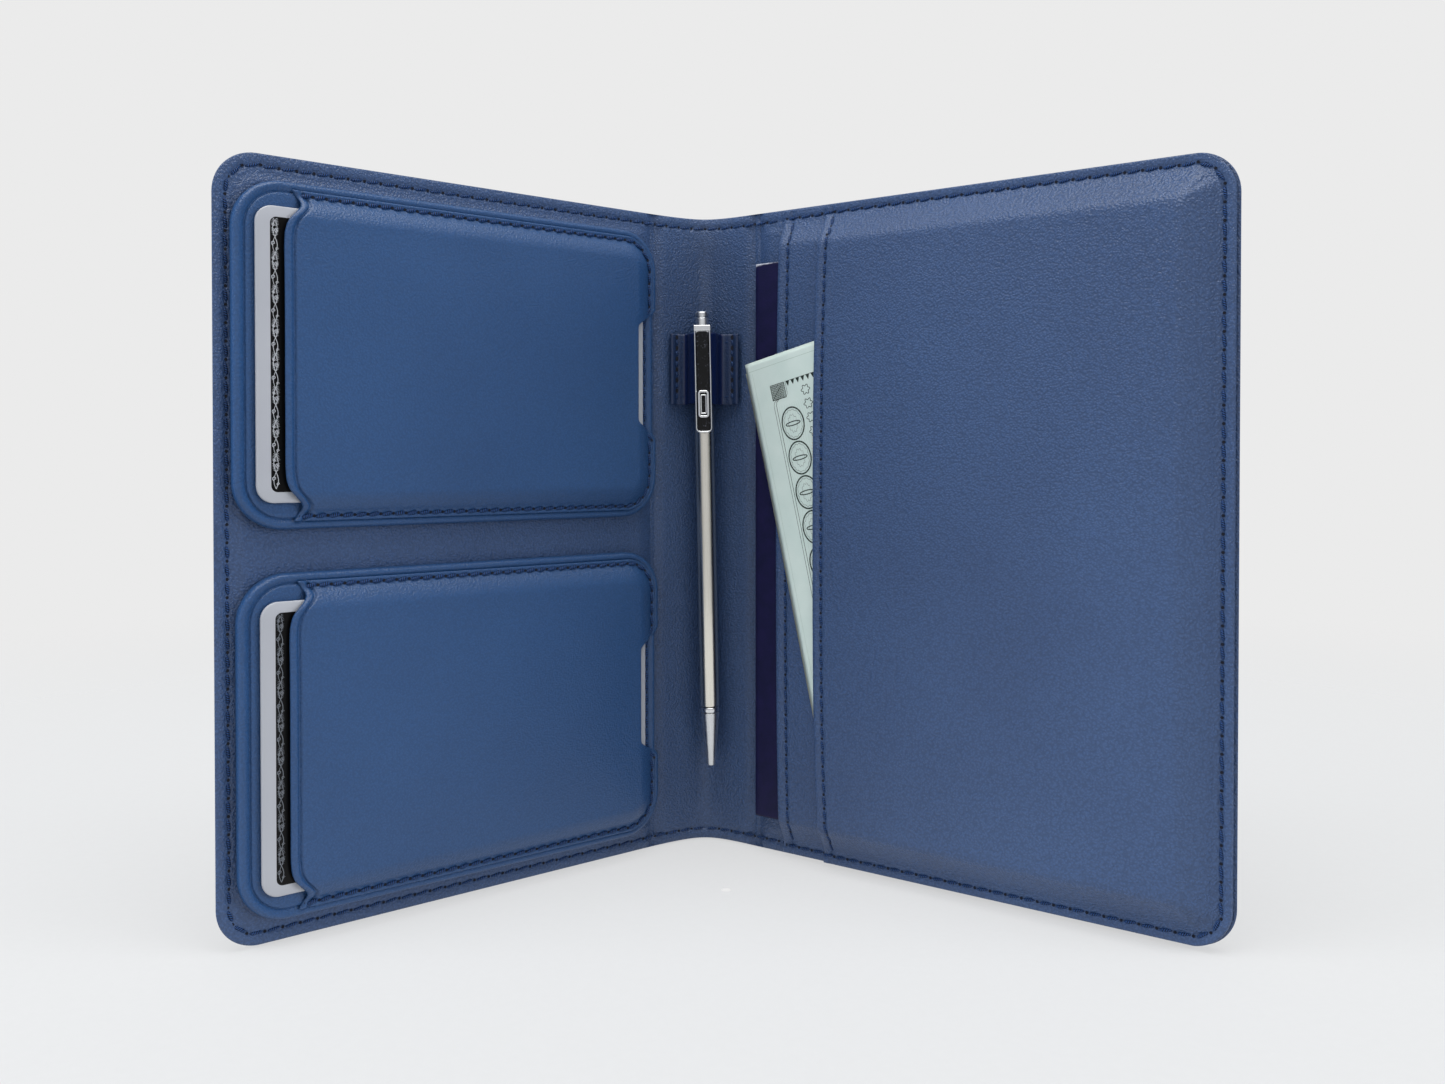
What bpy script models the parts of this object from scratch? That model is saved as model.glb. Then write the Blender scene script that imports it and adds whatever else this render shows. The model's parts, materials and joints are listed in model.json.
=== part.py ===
"""Passport holder, standing open in a V, with its pen, cards, passport and notes.

Lengths in the tables below are millimetres; every mesh is built in metres.
Each cover is drawn in its own frame: u runs out from the hinge line, z runs up,
w runs from the lining towards the reader. The hinge empties then open the V.
"""
import math

import bmesh
import bpy
import numpy as np

MM = 0.001
GAP = 0.3                      # clearance left between pieces that touch

# folio
HEIGHT = 145.5                 # top to bottom of covers and spine
LEFT_WIDTH = 98.0              # left cover, hinge line to outer edge
RIGHT_WIDTH = 105.4            # right cover, hinge line to outer edge
HINGE_HALF = 11.3              # half of the spacing between the two hinge lines
LEFT_ANGLE = 39.5              # degrees each cover stands forward of flat
RIGHT_ANGLE = 35.9
COVER_START = 0.8              # board and skins begin this far from the hinge line
CORNER = 8.0                   # outer corner radius of the covers
SPINE_DEPTH = 6.0              # how far the spine bows back between the hinges
SPINE_SLOPE = 0.83             # steepness of the spine flanks
SKIN = 0.8                     # outer leather
BOARD = 0.6                    # stiffening board
LINING = 0.6                   # inner leather
SEAM_INSET = 2.3               # perimeter seam, in from the edge
THREAD = 0.2                   # sewing thread thickness
SEAT = 0.15                    # clearance under a thread

# card holders on the left cover
HOLDER_WIDTH = 93.4
HOLDER_TALL = 64.0
HOLDER_CORNER = 9.0
HOLDER_BASE = 2.2
UPPER_START = 1.4              # inner edge of the upper holder, from the hinge line
LOWER_START = 0.8
UPPER_MIDDLE = 108.5           # height of the middle of each holder
LOWER_MIDDLE = 36.5
FLANGE_INSET = 1.5             # pocket panel outline, in from the base outline
MOUTH = 84.7                   # pocket mouth, from the inner edge of the holder
NOTCH_HALF = 13.9              # thumb notch
NOTCH_DEPTH = 6.6
CARD_WIDTH = 85.6
CARD_TALL = 54.0
CARD_THICK = 0.8
CARD_CORNER = 3.2
CARD_START = 4.7               # end of the card, from the inner edge of the holder

# passport, notes and their pockets on the right cover
PASSPORT_WIDTH = 88.0
PASSPORT_TALL = 125.0
PASSPORT_THICK = 2.6
PASSPORT_START = 1.8
PASSPORT_BOTTOM = 8.4
PASSPORT_SKIN = 0.4
NOTE_WIDTH = 66.0
NOTE_TALL = 78.0
NOTE_THICK = 0.25
NOTE_TILT = 13.5               # degrees
NOTE_CORNER_U = 0.4            # upper corner nearest the spine
NOTE_CORNER_Z = 110.5
POCKET_INSET = 0.4             # pocket panels, in from the cover edge
POCKET_EASE = 8.0              # width of the sloping border of the pockets

# pen
PEN_TIP = (1.43, 1.5, 18.6)    # x from the middle of the spine, y from the hinges, z
PEN_LEAN = -1.155              # degrees
PEN_RADIUS = 2.15
NOSE_LENGTH = 12.2
RING_TOP = 13.6
BARREL_TOP = 99.7
COLLAR_TOP = 101.2
PEN_LENGTH = 104.7
CLIP_BOTTOM = 76.8
CLIP_WIDTH = 3.8
LOOP_BOTTOM = 101.9
LOOP_TOP = 118.3
LOOP_HALF = 8.3
LOOP_SKIN = 0.8

COLOURS = {
    "skin": ((0.040, 0.085, 0.220), 0.0, 0.55),
    "lining": ((0.055, 0.110, 0.260), 0.0, 0.60),
    "board": ((0.300, 0.280, 0.250), 0.0, 0.90),
    "thread": ((0.015, 0.030, 0.100), 0.0, 0.80),
    "card": ((0.600, 0.600, 0.610), 0.0, 0.35),
    "passport": ((0.030, 0.020, 0.060), 0.0, 0.70),
    "pages": ((0.800, 0.780, 0.720), 0.0, 0.90),
    "note": ((0.560, 0.640, 0.580), 0.0, 0.90),
    "chrome": ((0.800, 0.800, 0.810), 1.0, 0.12),
    "barrel": ((0.640, 0.600, 0.540), 1.0, 0.30),
    "inlay": ((0.020, 0.020, 0.022), 0.0, 0.25),
    "refill": ((0.700, 0.720, 0.740), 0.0, 0.40),
    "brass": ((0.700, 0.520, 0.250), 1.0, 0.30),
    "steel": ((0.600, 0.600, 0.610), 1.0, 0.35),
}


def clear_scene():
    """Start from an empty file."""
    for item in list(bpy.data.objects):
        bpy.data.objects.remove(item, do_unlink=True)


def material(name, kind):
    """One Principled material per piece, coloured by kind."""
    colour, metallic, roughness = COLOURS[kind]
    result = bpy.data.materials.new(name)
    result.use_nodes = True
    shader = result.node_tree.nodes["Principled BSDF"]
    shader.inputs["Base Color"].default_value = (*colour, 1.0)
    shader.inputs["Metallic"].default_value = metallic
    shader.inputs["Roughness"].default_value = roughness
    result.diffuse_color = (*colour, 1.0)
    return result


def empty(name, location, rotation, parent):
    """A joint frame: location in millimetres, rotation in degrees about one axis."""
    result = bpy.data.objects.new(name, None)
    bpy.context.scene.collection.objects.link(result)
    result.parent = parent
    result.location = [MM * value for value in location]
    result.rotation_euler = [math.radians(value) for value in rotation]
    return result


def solid(name, shape, kind, parent):
    """One closed body from vertices in millimetres, faces turned outwards."""
    verts, faces = shape
    mesh = bpy.data.meshes.new(name)
    mesh.from_pydata((np.asarray(verts) * MM).tolist(), [], faces)
    work = bmesh.new()
    work.from_mesh(mesh)
    bmesh.ops.recalc_face_normals(work, faces=work.faces)
    work.to_mesh(mesh)
    work.free()
    mesh.materials.append(material(name, kind))
    result = bpy.data.objects.new(name, mesh)
    bpy.context.scene.collection.objects.link(result)
    result.parent = parent
    return result


def loft(rings, closed=False):
    """Skin through rings of equal length; capped at both ends unless closed."""
    count = len(rings[0])
    total = len(rings)
    faces = []
    for k in range(total if closed else total - 1):
        a = k * count
        b = ((k + 1) % total) * count
        for i in range(count):
            j = (i + 1) % count
            faces.append((a + i, a + j, b + j, b + i))
    if not closed:
        faces.append(tuple(reversed(range(count))))
        faces.append(tuple(range((total - 1) * count, total * count)))
    return np.vstack(rings), faces


def rounded_rect(u0, u1, z0, z1, radii, inset=0.0, steps=6):
    """Outline with its own radius at each corner, from inner bottom round to inner top."""
    corners = ((u0, z0, 180, 1, 1), (u1, z0, 270, -1, 1), (u1, z1, 0, -1, -1), (u0, z1, 90, 1, -1))
    points = []
    for (u, z, start, su, sz), radius in zip(corners, radii):
        r = max(radius - inset, 0.1)
        turn = np.radians(start + np.linspace(0, 90, steps + 1))
        cu = u + su * (inset + r)
        cz = z + sz * (inset + r)
        points.append(np.column_stack((cu + r * np.cos(turn), cz + r * np.sin(turn))))
    return np.vstack(points)


def place(outline, w, side):
    """Cover coordinates to the cover's own frame; side is -1 for left, +1 for right."""
    w = np.broadcast_to(w, len(outline))
    return np.column_stack((side * outline[:, 0], -w, outline[:, 1]))


def slab(box, radii, w0, w1, side, edge=0.0, steps=6):
    """Flat plate with a rounded outline and softened edges."""
    steps_out = [(0.0, w0), (0.0, w1)]
    if edge:
        soft = [(edge, 0.0), (0.3 * edge, 0.3 * edge), (0.0, edge)]
        steps_out = [(i, w0 + d) for i, d in soft] + [(i, w1 - d) for i, d in reversed(soft)]
    rings = [place(rounded_rect(*box, radii, i, steps), w, side) for i, w in steps_out]
    return loft(rings)


def tray(box, radii, levels, side):
    """Outer leather with a turned-up border; levels are floor back, floor, rim."""
    back, floor, rim = levels
    profile = [(0.5, back), (0.15, back + 0.15), (0.0, back + 0.5), (0.0, rim), (3.9, rim), (3.9, floor)]
    return loft([place(rounded_rect(*box, radii, i), w, side) for i, w in profile])


def cover_outline(width):
    """Box and corner radii of a cover."""
    return (COVER_START, width, 0.0, HEIGHT), (0.3, CORNER, CORNER, 0.3)


def cover(prefix, width, side, parent):
    """Outer leather, board and lining of one cover."""
    box, radii = cover_outline(width)
    lining_back = -LINING
    board_front = lining_back - GAP
    board_back = board_front - BOARD
    skin_front = board_back - GAP
    levels = (skin_front - SKIN, skin_front, board_front)
    solid(prefix + "_cover_outer", tray(box, radii, levels, side), "skin", parent)
    inner = (box[0] + 4.3, box[1] - 4.3, box[2] + 4.3, box[3] - 4.3)
    board = slab(inner, (0.3, 4.0, 4.0, 0.3), board_back, board_front, side)
    solid(prefix + "_cover_board", board, "board", parent)
    lining = slab(box, radii, lining_back, 0.0, side, edge=0.2)
    solid(prefix + "_cover_lining", lining, "lining", parent)


def seam(width, side, level):
    """Thread round the three free edges of a cover; level gives w from u."""
    box, radii = cover_outline(width)
    near = rounded_rect(*box, radii, SEAM_INSET - THREAD / 2, 8)[9:27]
    far = rounded_rect(*box, radii, SEAM_INSET + THREAD / 2, 8)[9:27]
    stops = np.array([2.0, 8.6, 9.0, 20.4, 20.8])
    bottom_near = np.column_stack((stops, np.full(5, SEAM_INSET - THREAD / 2)))
    bottom_far = np.column_stack((stops, np.full(5, SEAM_INSET + THREAD / 2)))
    flip = np.array([1.0, -1.0])
    shift = np.array([0.0, HEIGHT])
    near = np.vstack((bottom_near, near, bottom_near[::-1] * flip + shift))
    far = np.vstack((bottom_far, far, bottom_far[::-1] * flip + shift))
    rings = []
    for a, b in zip(near, far):
        w = level(a[0])
        corners = np.array((a, b, b, a))
        rings.append(place(corners, np.array((w, w, w + THREAD, w + THREAD)), side))
    return loft(rings)


def spine_inner(x):
    """Depth of the lining behind the hinge line at distance x from the middle."""
    bow = SPINE_SLOPE * HINGE_HALF
    a = (bow * bow - SPINE_DEPTH ** 2) / (2 * SPINE_DEPTH)
    return SPINE_DEPTH + a - np.sqrt(a * a + (SPINE_SLOPE * x) ** 2)


def spine_curve(half, offset, count=21):
    """Spine profile pushed back by offset along its own normal."""
    x = np.linspace(-half, half, count)
    y = spine_inner(x)
    slope = (spine_inner(x + 0.01) - spine_inner(x - 0.01)) / 0.02
    length = np.sqrt(1 + slope ** 2)
    return np.column_stack((x - offset * slope / length, y + offset / length))


def extrude_z(outline, z0, z1):
    """Prism over an outline in x and y."""
    rings = [np.column_stack((outline, np.full(len(outline), z))) for z in (z0, z1)]
    return loft(rings)


def spine(parent):
    """Outer leather and lining between the two covers, with their seams."""
    start = LINING + 2 * GAP + BOARD
    outer = np.vstack((spine_curve(9.2, start), spine_curve(9.0, start + SKIN)[::-1]))
    solid("spine_outer", extrude_z(outer, 0.0, HEIGHT), "skin", parent)
    inner = np.vstack((spine_curve(10.4, 0.0), spine_curve(10.2, LINING)[::-1]))
    solid("spine_lining", extrude_z(inner, 0.0, HEIGHT), "lining", parent)
    line = np.vstack((spine_curve(9.6, -GAP), spine_curve(9.6, -GAP - THREAD)[::-1]))
    low = SEAM_INSET - THREAD / 2
    solid("spine_thread_bottom", extrude_z(line, low, low + THREAD), "thread", parent)
    high = HEIGHT - SEAM_INSET - THREAD / 2
    solid("spine_thread_top", extrude_z(line, high, high + THREAD), "thread", parent)


def loop_path():
    """Middle line of the pen loop strip: tab, rise, half turn round the pen."""
    middle = PEN_TIP[0] + math.tan(math.radians(PEN_LEAN)) * (0.5 * (LOOP_TOP + LOOP_BOTTOM) - PEN_TIP[2])
    radius = PEN_RADIUS + 0.5 + LOOP_SKIN / 2
    tab = np.linspace(-LOOP_HALF, -5.6, 4)
    lift = GAP + LOOP_SKIN / 2
    slope = (spine_inner(tab + 0.01) - spine_inner(tab - 0.01)) / 0.02
    length = np.sqrt(1 + slope ** 2)
    flat = np.column_stack((tab + lift * slope / length, spine_inner(tab) - lift / length))
    heading = np.array((1.0, slope[-1])) / length[-1]
    side = np.array((middle - radius, PEN_TIP[1]))
    p0, p3 = flat[-1], side
    p1, p2 = p0 + 1.1 * heading, side + np.array((0.0, 1.5))
    t = np.linspace(0.12, 0.94, 8)[:, None]
    rise = (1 - t) ** 3 * p0 + 3 * t * (1 - t) ** 2 * p1 + 3 * t * t * (1 - t) * p2 + t ** 3 * p3
    turn = np.radians(np.linspace(180, 270, 8))
    arc = np.column_stack((middle + radius * np.cos(turn), PEN_TIP[1] + radius * np.sin(turn)))
    half = np.vstack((flat, rise, arc))
    other = half[::-1][1:] * np.array((-1.0, 1.0)) + np.array((2 * middle, 0.0))
    blend = np.clip((other[:, 0] - middle - radius) / (LOOP_HALF - middle - radius), 0, 1)
    other[:, 0] -= blend * 2 * middle
    return np.vstack((half, other))


def thicken(path, thickness):
    """Closed outline standing half a thickness either side of an open path."""
    direction = np.gradient(path, axis=0)
    direction /= np.linalg.norm(direction, axis=1)[:, None]
    normal = np.column_stack((-direction[:, 1], direction[:, 0])) * thickness / 2
    return np.vstack((path + normal, (path - normal)[::-1]))


def pen_loop(parent):
    """Leather strip sewn down on both flanks of the spine, and its two seams."""
    strip = thicken(loop_path(), LOOP_SKIN)
    solid("pen_loop", extrude_z(strip, LOOP_BOTTOM, LOOP_TOP), "skin", parent)
    for word, x in (("left", -LOOP_HALF + 1.4), ("right", LOOP_HALF - 1.4)):
        lift = 2 * GAP + LOOP_SKIN
        base = float(spine_inner(x)) - lift * 1.25
        tip = base - THREAD
        outline = np.array(((x - 0.14, base), (x + 0.14, base), (x + 0.14, tip), (x - 0.14, tip)))
        piece = extrude_z(outline, LOOP_BOTTOM + 1.0, LOOP_TOP - 1.0)
        solid("pen_loop_thread_" + word, piece, "thread", parent)


def smooth(t):
    """Smooth step from nought to one."""
    t = np.clip(t, 0.0, 1.0)
    return t * t * (3 - 2 * t)


def sheet(u_grid, z_grid, w_grid, thickness, side):
    """Closed sheet whose back follows w over a grid of rows and columns."""
    rows, columns = u_grid.shape
    back = np.column_stack((side * u_grid.ravel(), -w_grid.ravel(), z_grid.ravel()))
    front = back - np.array((0.0, thickness, 0.0))
    index = np.arange(rows * columns).reshape(rows, columns)
    faces = []
    for layer in (0, rows * columns):
        for i in range(rows - 1):
            for j in range(columns - 1):
                a, b, c, d = index[i, j], index[i, j + 1], index[i + 1, j + 1], index[i + 1, j]
                faces.append(tuple(int(v) + layer for v in (a, b, c, d)))
    rim = np.concatenate((index[0], index[1:, -1], index[-1, -2::-1], index[-2:0:-1, 0]))
    for a, b in zip(rim, np.roll(rim, -1)):
        faces.append((int(a), int(b), int(b) + rows * columns, int(a) + rows * columns))
    return np.vstack((back, front)), faces


def corner_edge(z, z0, z1, radius):
    """How far a rounded vertical edge has drawn in at height z."""
    near = np.minimum(z - z0, z1 - z)
    drop = np.clip(radius - near, 0.0, radius)
    return radius - np.sqrt(np.maximum(radius ** 2 - drop ** 2, 0.0))


def inside_distance(from_end, from_side, radius):
    """Distance in from the outline of a panel with rounded corners."""
    across = np.maximum(radius - from_end, 0.0)
    along = np.maximum(radius - from_side, 0.0)
    corner = radius - np.sqrt(across ** 2 + along ** 2)
    return np.where((across > 0) & (along > 0), corner, np.minimum(from_end, from_side))


def mirrored(values, total):
    """Row heights given from one end, repeated from the other."""
    values = np.asarray(values, dtype=float)
    return np.concatenate((values, total - values[::-1]))


def holder_edges(dz):
    """Notched inner edge and shaped mouth of a holder panel, from the holder's inner edge."""
    half = HOLDER_TALL / 2 - FLANGE_INSET
    inner = FLANGE_INSET + corner_edge(dz, -half, half, HOLDER_CORNER - FLANGE_INSET)
    notch = 1 - smooth((np.abs(dz) - 10.3) / (NOTCH_HALF - 10.3))
    inner = inner + notch * (NOTCH_DEPTH - FLANGE_INSET)
    knots = np.array((0.0, 18.5, 21.5, 24.5, 27.1, 29.0, 31.7))
    steps = np.array((0.0, 0.0, -0.4, -3.0, -5.4, -4.4, -3.2))
    return inner, MOUTH + np.interp(np.abs(dz), knots, steps)


def holder_panel(start, middle):
    """Front panel of a card holder, standing clear of the card."""
    half = HOLDER_TALL / 2 - FLANGE_INSET
    near = np.array((0.0, 0.7, 1.5, 2.0, 2.5, 3.1, 3.8, 5.0, 6.2, 9.0, 12.0, 15.2, 16.4, 17.6, 18.8, 20.2))
    rows = mirrored(near, 2 * half) - half
    inner, mouth = holder_edges(rows)
    part = np.array((0.0, 0.008, 0.016, 0.024, 0.032, 0.042, 0.06, 0.12, 0.4, 0.7, 0.9, 1.0))
    u = inner[:, None] + (mouth - inner)[:, None] * part
    z = np.repeat(rows[:, None], len(part), axis=1)
    from_end = u - FLANGE_INSET
    from_side = half - np.abs(z)
    inside = inside_distance(from_end, from_side, HOLDER_CORNER - FLANGE_INSET)
    rise = smooth((inside - 1.5) / 1.5)
    level = HOLDER_BASE + 2 * GAP
    w = level + rise * (CARD_THICK + GAP)
    return sheet(start + u, middle + z, w, 0.7, -1)


def holder_base(start, middle):
    """Backing plate with a shallow notch on the hinge side."""
    box = (start, start + HOLDER_WIDTH, middle - HOLDER_TALL / 2, middle + HOLDER_TALL / 2)
    radii = (HOLDER_CORNER,) * 4
    rings = []
    top = GAP + HOLDER_BASE
    for inset, w in ((0.5, GAP), (0.0, GAP + 0.4), (0.0, top - 1.0), (0.3, top - 0.3), (1.0, top)):
        outline = rounded_rect(*box, radii, inset)
        notch = np.array(((start, middle + 13.9), (start + 1, middle + 13.2),
                          (start + 1, middle - 13.2), (start, middle - 13.9)))
        notch[:, 0] += inset
        rings.append(place(np.vstack((outline, notch)), w, -1))
    return loft(rings)


def holder_thread(start, middle):
    """Seam that fixes the panel along its top, inner end and bottom."""
    box = (start, start + HOLDER_WIDTH, middle - HOLDER_TALL / 2, middle + HOLDER_TALL / 2)
    rings = []
    inset = FLANGE_INSET + 1.0
    near = rounded_rect(*box, (HOLDER_CORNER,) * 4, inset - THREAD / 2)
    far = rounded_rect(*box, (HOLDER_CORNER,) * 4, inset + THREAD / 2)
    order = list(range(21, 28)) + list(range(0, 7))
    near = np.vstack(([start + MOUTH - 5.0, near[21, 1]], near[order], [start + MOUTH - 5.0, near[6, 1]]))
    far = np.vstack(([start + MOUTH - 5.0, far[21, 1]], far[order], [start + MOUTH - 5.0, far[6, 1]]))
    w = HOLDER_BASE + 2 * GAP + 0.7 + GAP
    for a, b in zip(near, far):
        rings.append(place(np.array((a, b, b, a)), np.array((w, w, w + THREAD, w + THREAD)), -1))
    return loft(rings)


def card_holder(prefix, start, middle, parent):
    """Base, pocket panel, seam and the card on its own slide."""
    solid(prefix + "_holder_base", holder_base(start, middle), "skin", parent)
    solid(prefix + "_holder_pocket", holder_panel(start, middle), "skin", parent)
    solid(prefix + "_holder_thread", holder_thread(start, middle), "thread", parent)
    w0 = HOLDER_BASE + 2 * GAP
    slide = empty(prefix + "_card_slide", (-(start + CARD_START), -w0, middle), (0, 0, 0), parent)
    box = (0.0, CARD_WIDTH, -CARD_TALL / 2, CARD_TALL / 2)
    card = slab(box, (CARD_CORNER,) * 4, 0.0, CARD_THICK, -1)
    solid(prefix + "_card", card, "card", slide)


def pocket_rise(u, z, width):
    """Nought on the sewn border of a right-hand pocket, one over its contents."""
    from_end = width - POCKET_INSET - u
    from_side = np.minimum(z - POCKET_INSET, HEIGHT - POCKET_INSET - z)
    inside = inside_distance(from_end, from_side, CORNER - POCKET_INSET)
    return smooth((inside - 2.9) / (POCKET_EASE - 2.9))


def pocket_grid(edge):
    """Rows and columns of a right-hand pocket panel; edge gives its free edge by height."""
    near = (0.0, 1.5, 2.9, 3.7, 4.6, 5.5, 6.5, 8.0, 11.0, 16.0, 24.0, 38.0, 56.0)
    rows = mirrored(near, HEIGHT - 2 * POCKET_INSET) + POCKET_INSET
    far = RIGHT_WIDTH - POCKET_INSET
    far = far - corner_edge(rows, POCKET_INSET, HEIGHT - POCKET_INSET, CORNER - POCKET_INSET)
    start = edge(rows)
    span = np.array((0.0, 0.03, 0.1, 0.3, 0.5, 0.7, 0.84))
    inner = start[:, None] + (far - start)[:, None] * span
    outer = far[:, None] - np.array((9.5, 8.0, 6.5, 5.5, 4.6, 3.7, 2.9, 1.4, 0.0))
    u = np.hstack((inner, outer))
    return u, np.repeat(rows[:, None], u.shape[1], axis=1)


def passport_edge(z):
    """Free edge of the passport pocket, a little fuller in the middle."""
    return 8.4 + 1.0 * np.abs(2 * z / HEIGHT - 1) ** 3


def note_edge(z):
    """Free edge of the note pocket."""
    return 19.4 + 1.8 * np.abs(2 * z / HEIGHT - 1) ** 3


def hem_seam(edge, level, width):
    """Thread down a pocket edge, riding over the panel."""
    rings = []
    half = np.array((4.4, 5.2, 6.0, 7.0, 8.6, 14.0, 30.0))
    for z in np.concatenate((half, [HEIGHT / 2], HEIGHT - half[::-1])):
        u = float(edge(z)) + 2.2
        w = level(pocket_rise(u, z, width)) + SEAT
        corners = np.array(((u - 0.14, z), (u + 0.14, z), (u + 0.14, z), (u - 0.14, z)))
        rings.append(place(corners, np.array((w, w, w + THREAD, w + THREAD)), 1))
    return loft(rings)


def on_first_pocket(rise):
    """Top face of the passport pocket, from its flange to its raised middle."""
    return GAP + rise * (PASSPORT_THICK + GAP) + 0.6


def on_second_pocket(rise):
    """Top face of the note pocket."""
    over_notes = 2 * GAP + PASSPORT_THICK + 0.6 + SEAT + THREAD + 3 * GAP + 2 * NOTE_THICK
    return 1.2 + rise * (over_notes - 1.2) + 0.7


def cover_edge_level(u):
    """Height of the perimeter seam on the right cover, which climbs on to each pocket."""
    if u < 8.8:
        return GAP
    return 1.2 if u < 20.6 else 2.2


def plain_level(u):
    """Height of the perimeter seam on the left cover."""
    return GAP + 0.0 * u


def right_pockets(parent):
    """Passport pocket, note pocket and their hems."""
    over_passport = 2 * GAP + PASSPORT_THICK
    over_notes = over_passport + 0.6 + SEAT + THREAD + 3 * GAP + 2 * NOTE_THICK
    u, z = pocket_grid(passport_edge)
    rise = pocket_rise(u, z, RIGHT_WIDTH)
    first = GAP + rise * (over_passport - GAP)
    solid("passport_pocket", sheet(u, z, first, 0.6, 1), "lining", parent)
    u, z = pocket_grid(note_edge)
    rise = pocket_rise(u, z, RIGHT_WIDTH)
    second = 1.2 + rise * (over_notes - 1.2)
    solid("note_pocket", sheet(u, z, second, 0.7, 1), "lining", parent)
    line = hem_seam(passport_edge, on_first_pocket, RIGHT_WIDTH)
    solid("passport_pocket_thread", line, "thread", parent)
    line = hem_seam(note_edge, on_second_pocket, RIGHT_WIDTH)
    solid("note_pocket_thread", line, "thread", parent)


def passport(parent):
    """Booklet: one folded cover round a block of pages."""
    slide = empty("passport_slide", (PASSPORT_START, -GAP, PASSPORT_BOTTOM), (0, 0, 0), parent)
    skin = PASSPORT_SKIN
    thick = PASSPORT_THICK
    turn = np.radians(np.linspace(0, 180, 9))
    bend = np.column_stack((1.3 - 1.3 * np.sin(turn), thick / 2 + thick / 2 * np.cos(turn)))
    hollow = np.column_stack((1.3 - 0.9 * np.sin(turn), thick / 2 + (thick / 2 - skin) * np.cos(turn)))
    rings = []
    for z in (0.0, 0.5, 1.4, 3.0, 122.0, 123.6, 124.5, 125.0):
        end = PASSPORT_WIDTH - float(corner_edge(z, 0.0, PASSPORT_TALL, 3.0))
        outline = np.vstack(([end, thick], bend, [end, 0.0], [end, skin], hollow[::-1], [end, thick - skin]))
        rings.append(np.column_stack((outline[:, 0], -outline[:, 1], np.full(len(outline), z))))
    solid("passport_cover", loft(rings), "passport", slide)
    box = (1.3, PASSPORT_WIDTH - 0.8, 0.6, PASSPORT_TALL - 0.6)
    pages = slab(box, (0.3, 2.6, 2.6, 0.3), skin + GAP, thick - skin - GAP, 1)
    solid("passport_pages", pages, "pages", slide)


def notes(parent):
    """Two folded notes, one slightly behind the other, tilted in the open pocket."""
    level = 3 * GAP + PASSPORT_THICK + 0.6 + SEAT + THREAD
    place_at = (NOTE_CORNER_U, -level, NOTE_CORNER_Z)
    slide = empty("banknote_slide", place_at, (0, -NOTE_TILT, 0), parent)
    for name, shift, drop, w in (("banknote_back", 0.0, 0.0, 0.0), ("banknote_front", 1.2, 1.0, GAP + NOTE_THICK)):
        box = (shift, NOTE_WIDTH + shift, -NOTE_TALL - drop, -drop)
        solid(name, slab(box, (0.4,) * 4, w, w + NOTE_THICK, 1, steps=2), "note", slide)


def revolve(profile, count=24):
    """Body of revolution round z; a profile that closes on itself leaves a bore."""
    turn = np.linspace(0, 2 * math.pi, count, endpoint=False)
    rings = []
    for r, z in profile:
        rings.append(np.column_stack((r * np.cos(turn), r * np.sin(turn), np.full(count, z))))
    return rings


def tube(profile, count=24):
    """Hollow body of revolution from a closed profile."""
    return loft(revolve(profile, count), closed=True)


def turned(profile, count=24):
    """Solid body of revolution from an open profile with flat ends."""
    return loft(revolve(profile, count))


def pen_shell(parent):
    """Barrel, ring, tapered nose and collar."""
    r = PEN_RADIUS
    nose = [(0.75, 0.0), (0.98, 0.0), (1.05, 0.1), (r - 0.05, NOSE_LENGTH),
            (1.5, NOSE_LENGTH), (1.24, 5.3), (0.75, 4.4)]
    solid("pen_nose", tube(nose), "chrome", parent)
    low = NOSE_LENGTH + 0.15
    high = RING_TOP - 0.1
    ring = [(1.5, low), (r - 0.05, low), (r, low + 0.1), (r, high), (1.5, high)]
    solid("pen_ring", tube(ring), "chrome", parent)
    barrel = [(1.5, RING_TOP + 0.1), (r, RING_TOP + 0.1), (r, BARREL_TOP),
              (1.85, BARREL_TOP), (1.85, 91.5), (1.5, 90.5)]
    solid("pen_barrel", tube(barrel), "barrel", parent)
    low = BARREL_TOP + 0.3
    collar = [(1.85, low), (r, low), (r, COLLAR_TOP - 0.2), (r - 0.2, COLLAR_TOP), (1.85, COLLAR_TOP)]
    solid("pen_collar", tube(collar), "chrome", parent)


def clip_section(half, back, front, floor, rim):
    """Channel section of the clip, in x and y."""
    side = max(half - rim, 0.05)
    return np.array(((-half, back), (half, back), (half, front), (side, front),
                     (side, floor), (-side, floor), (-side, front), (-half, front)))


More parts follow.
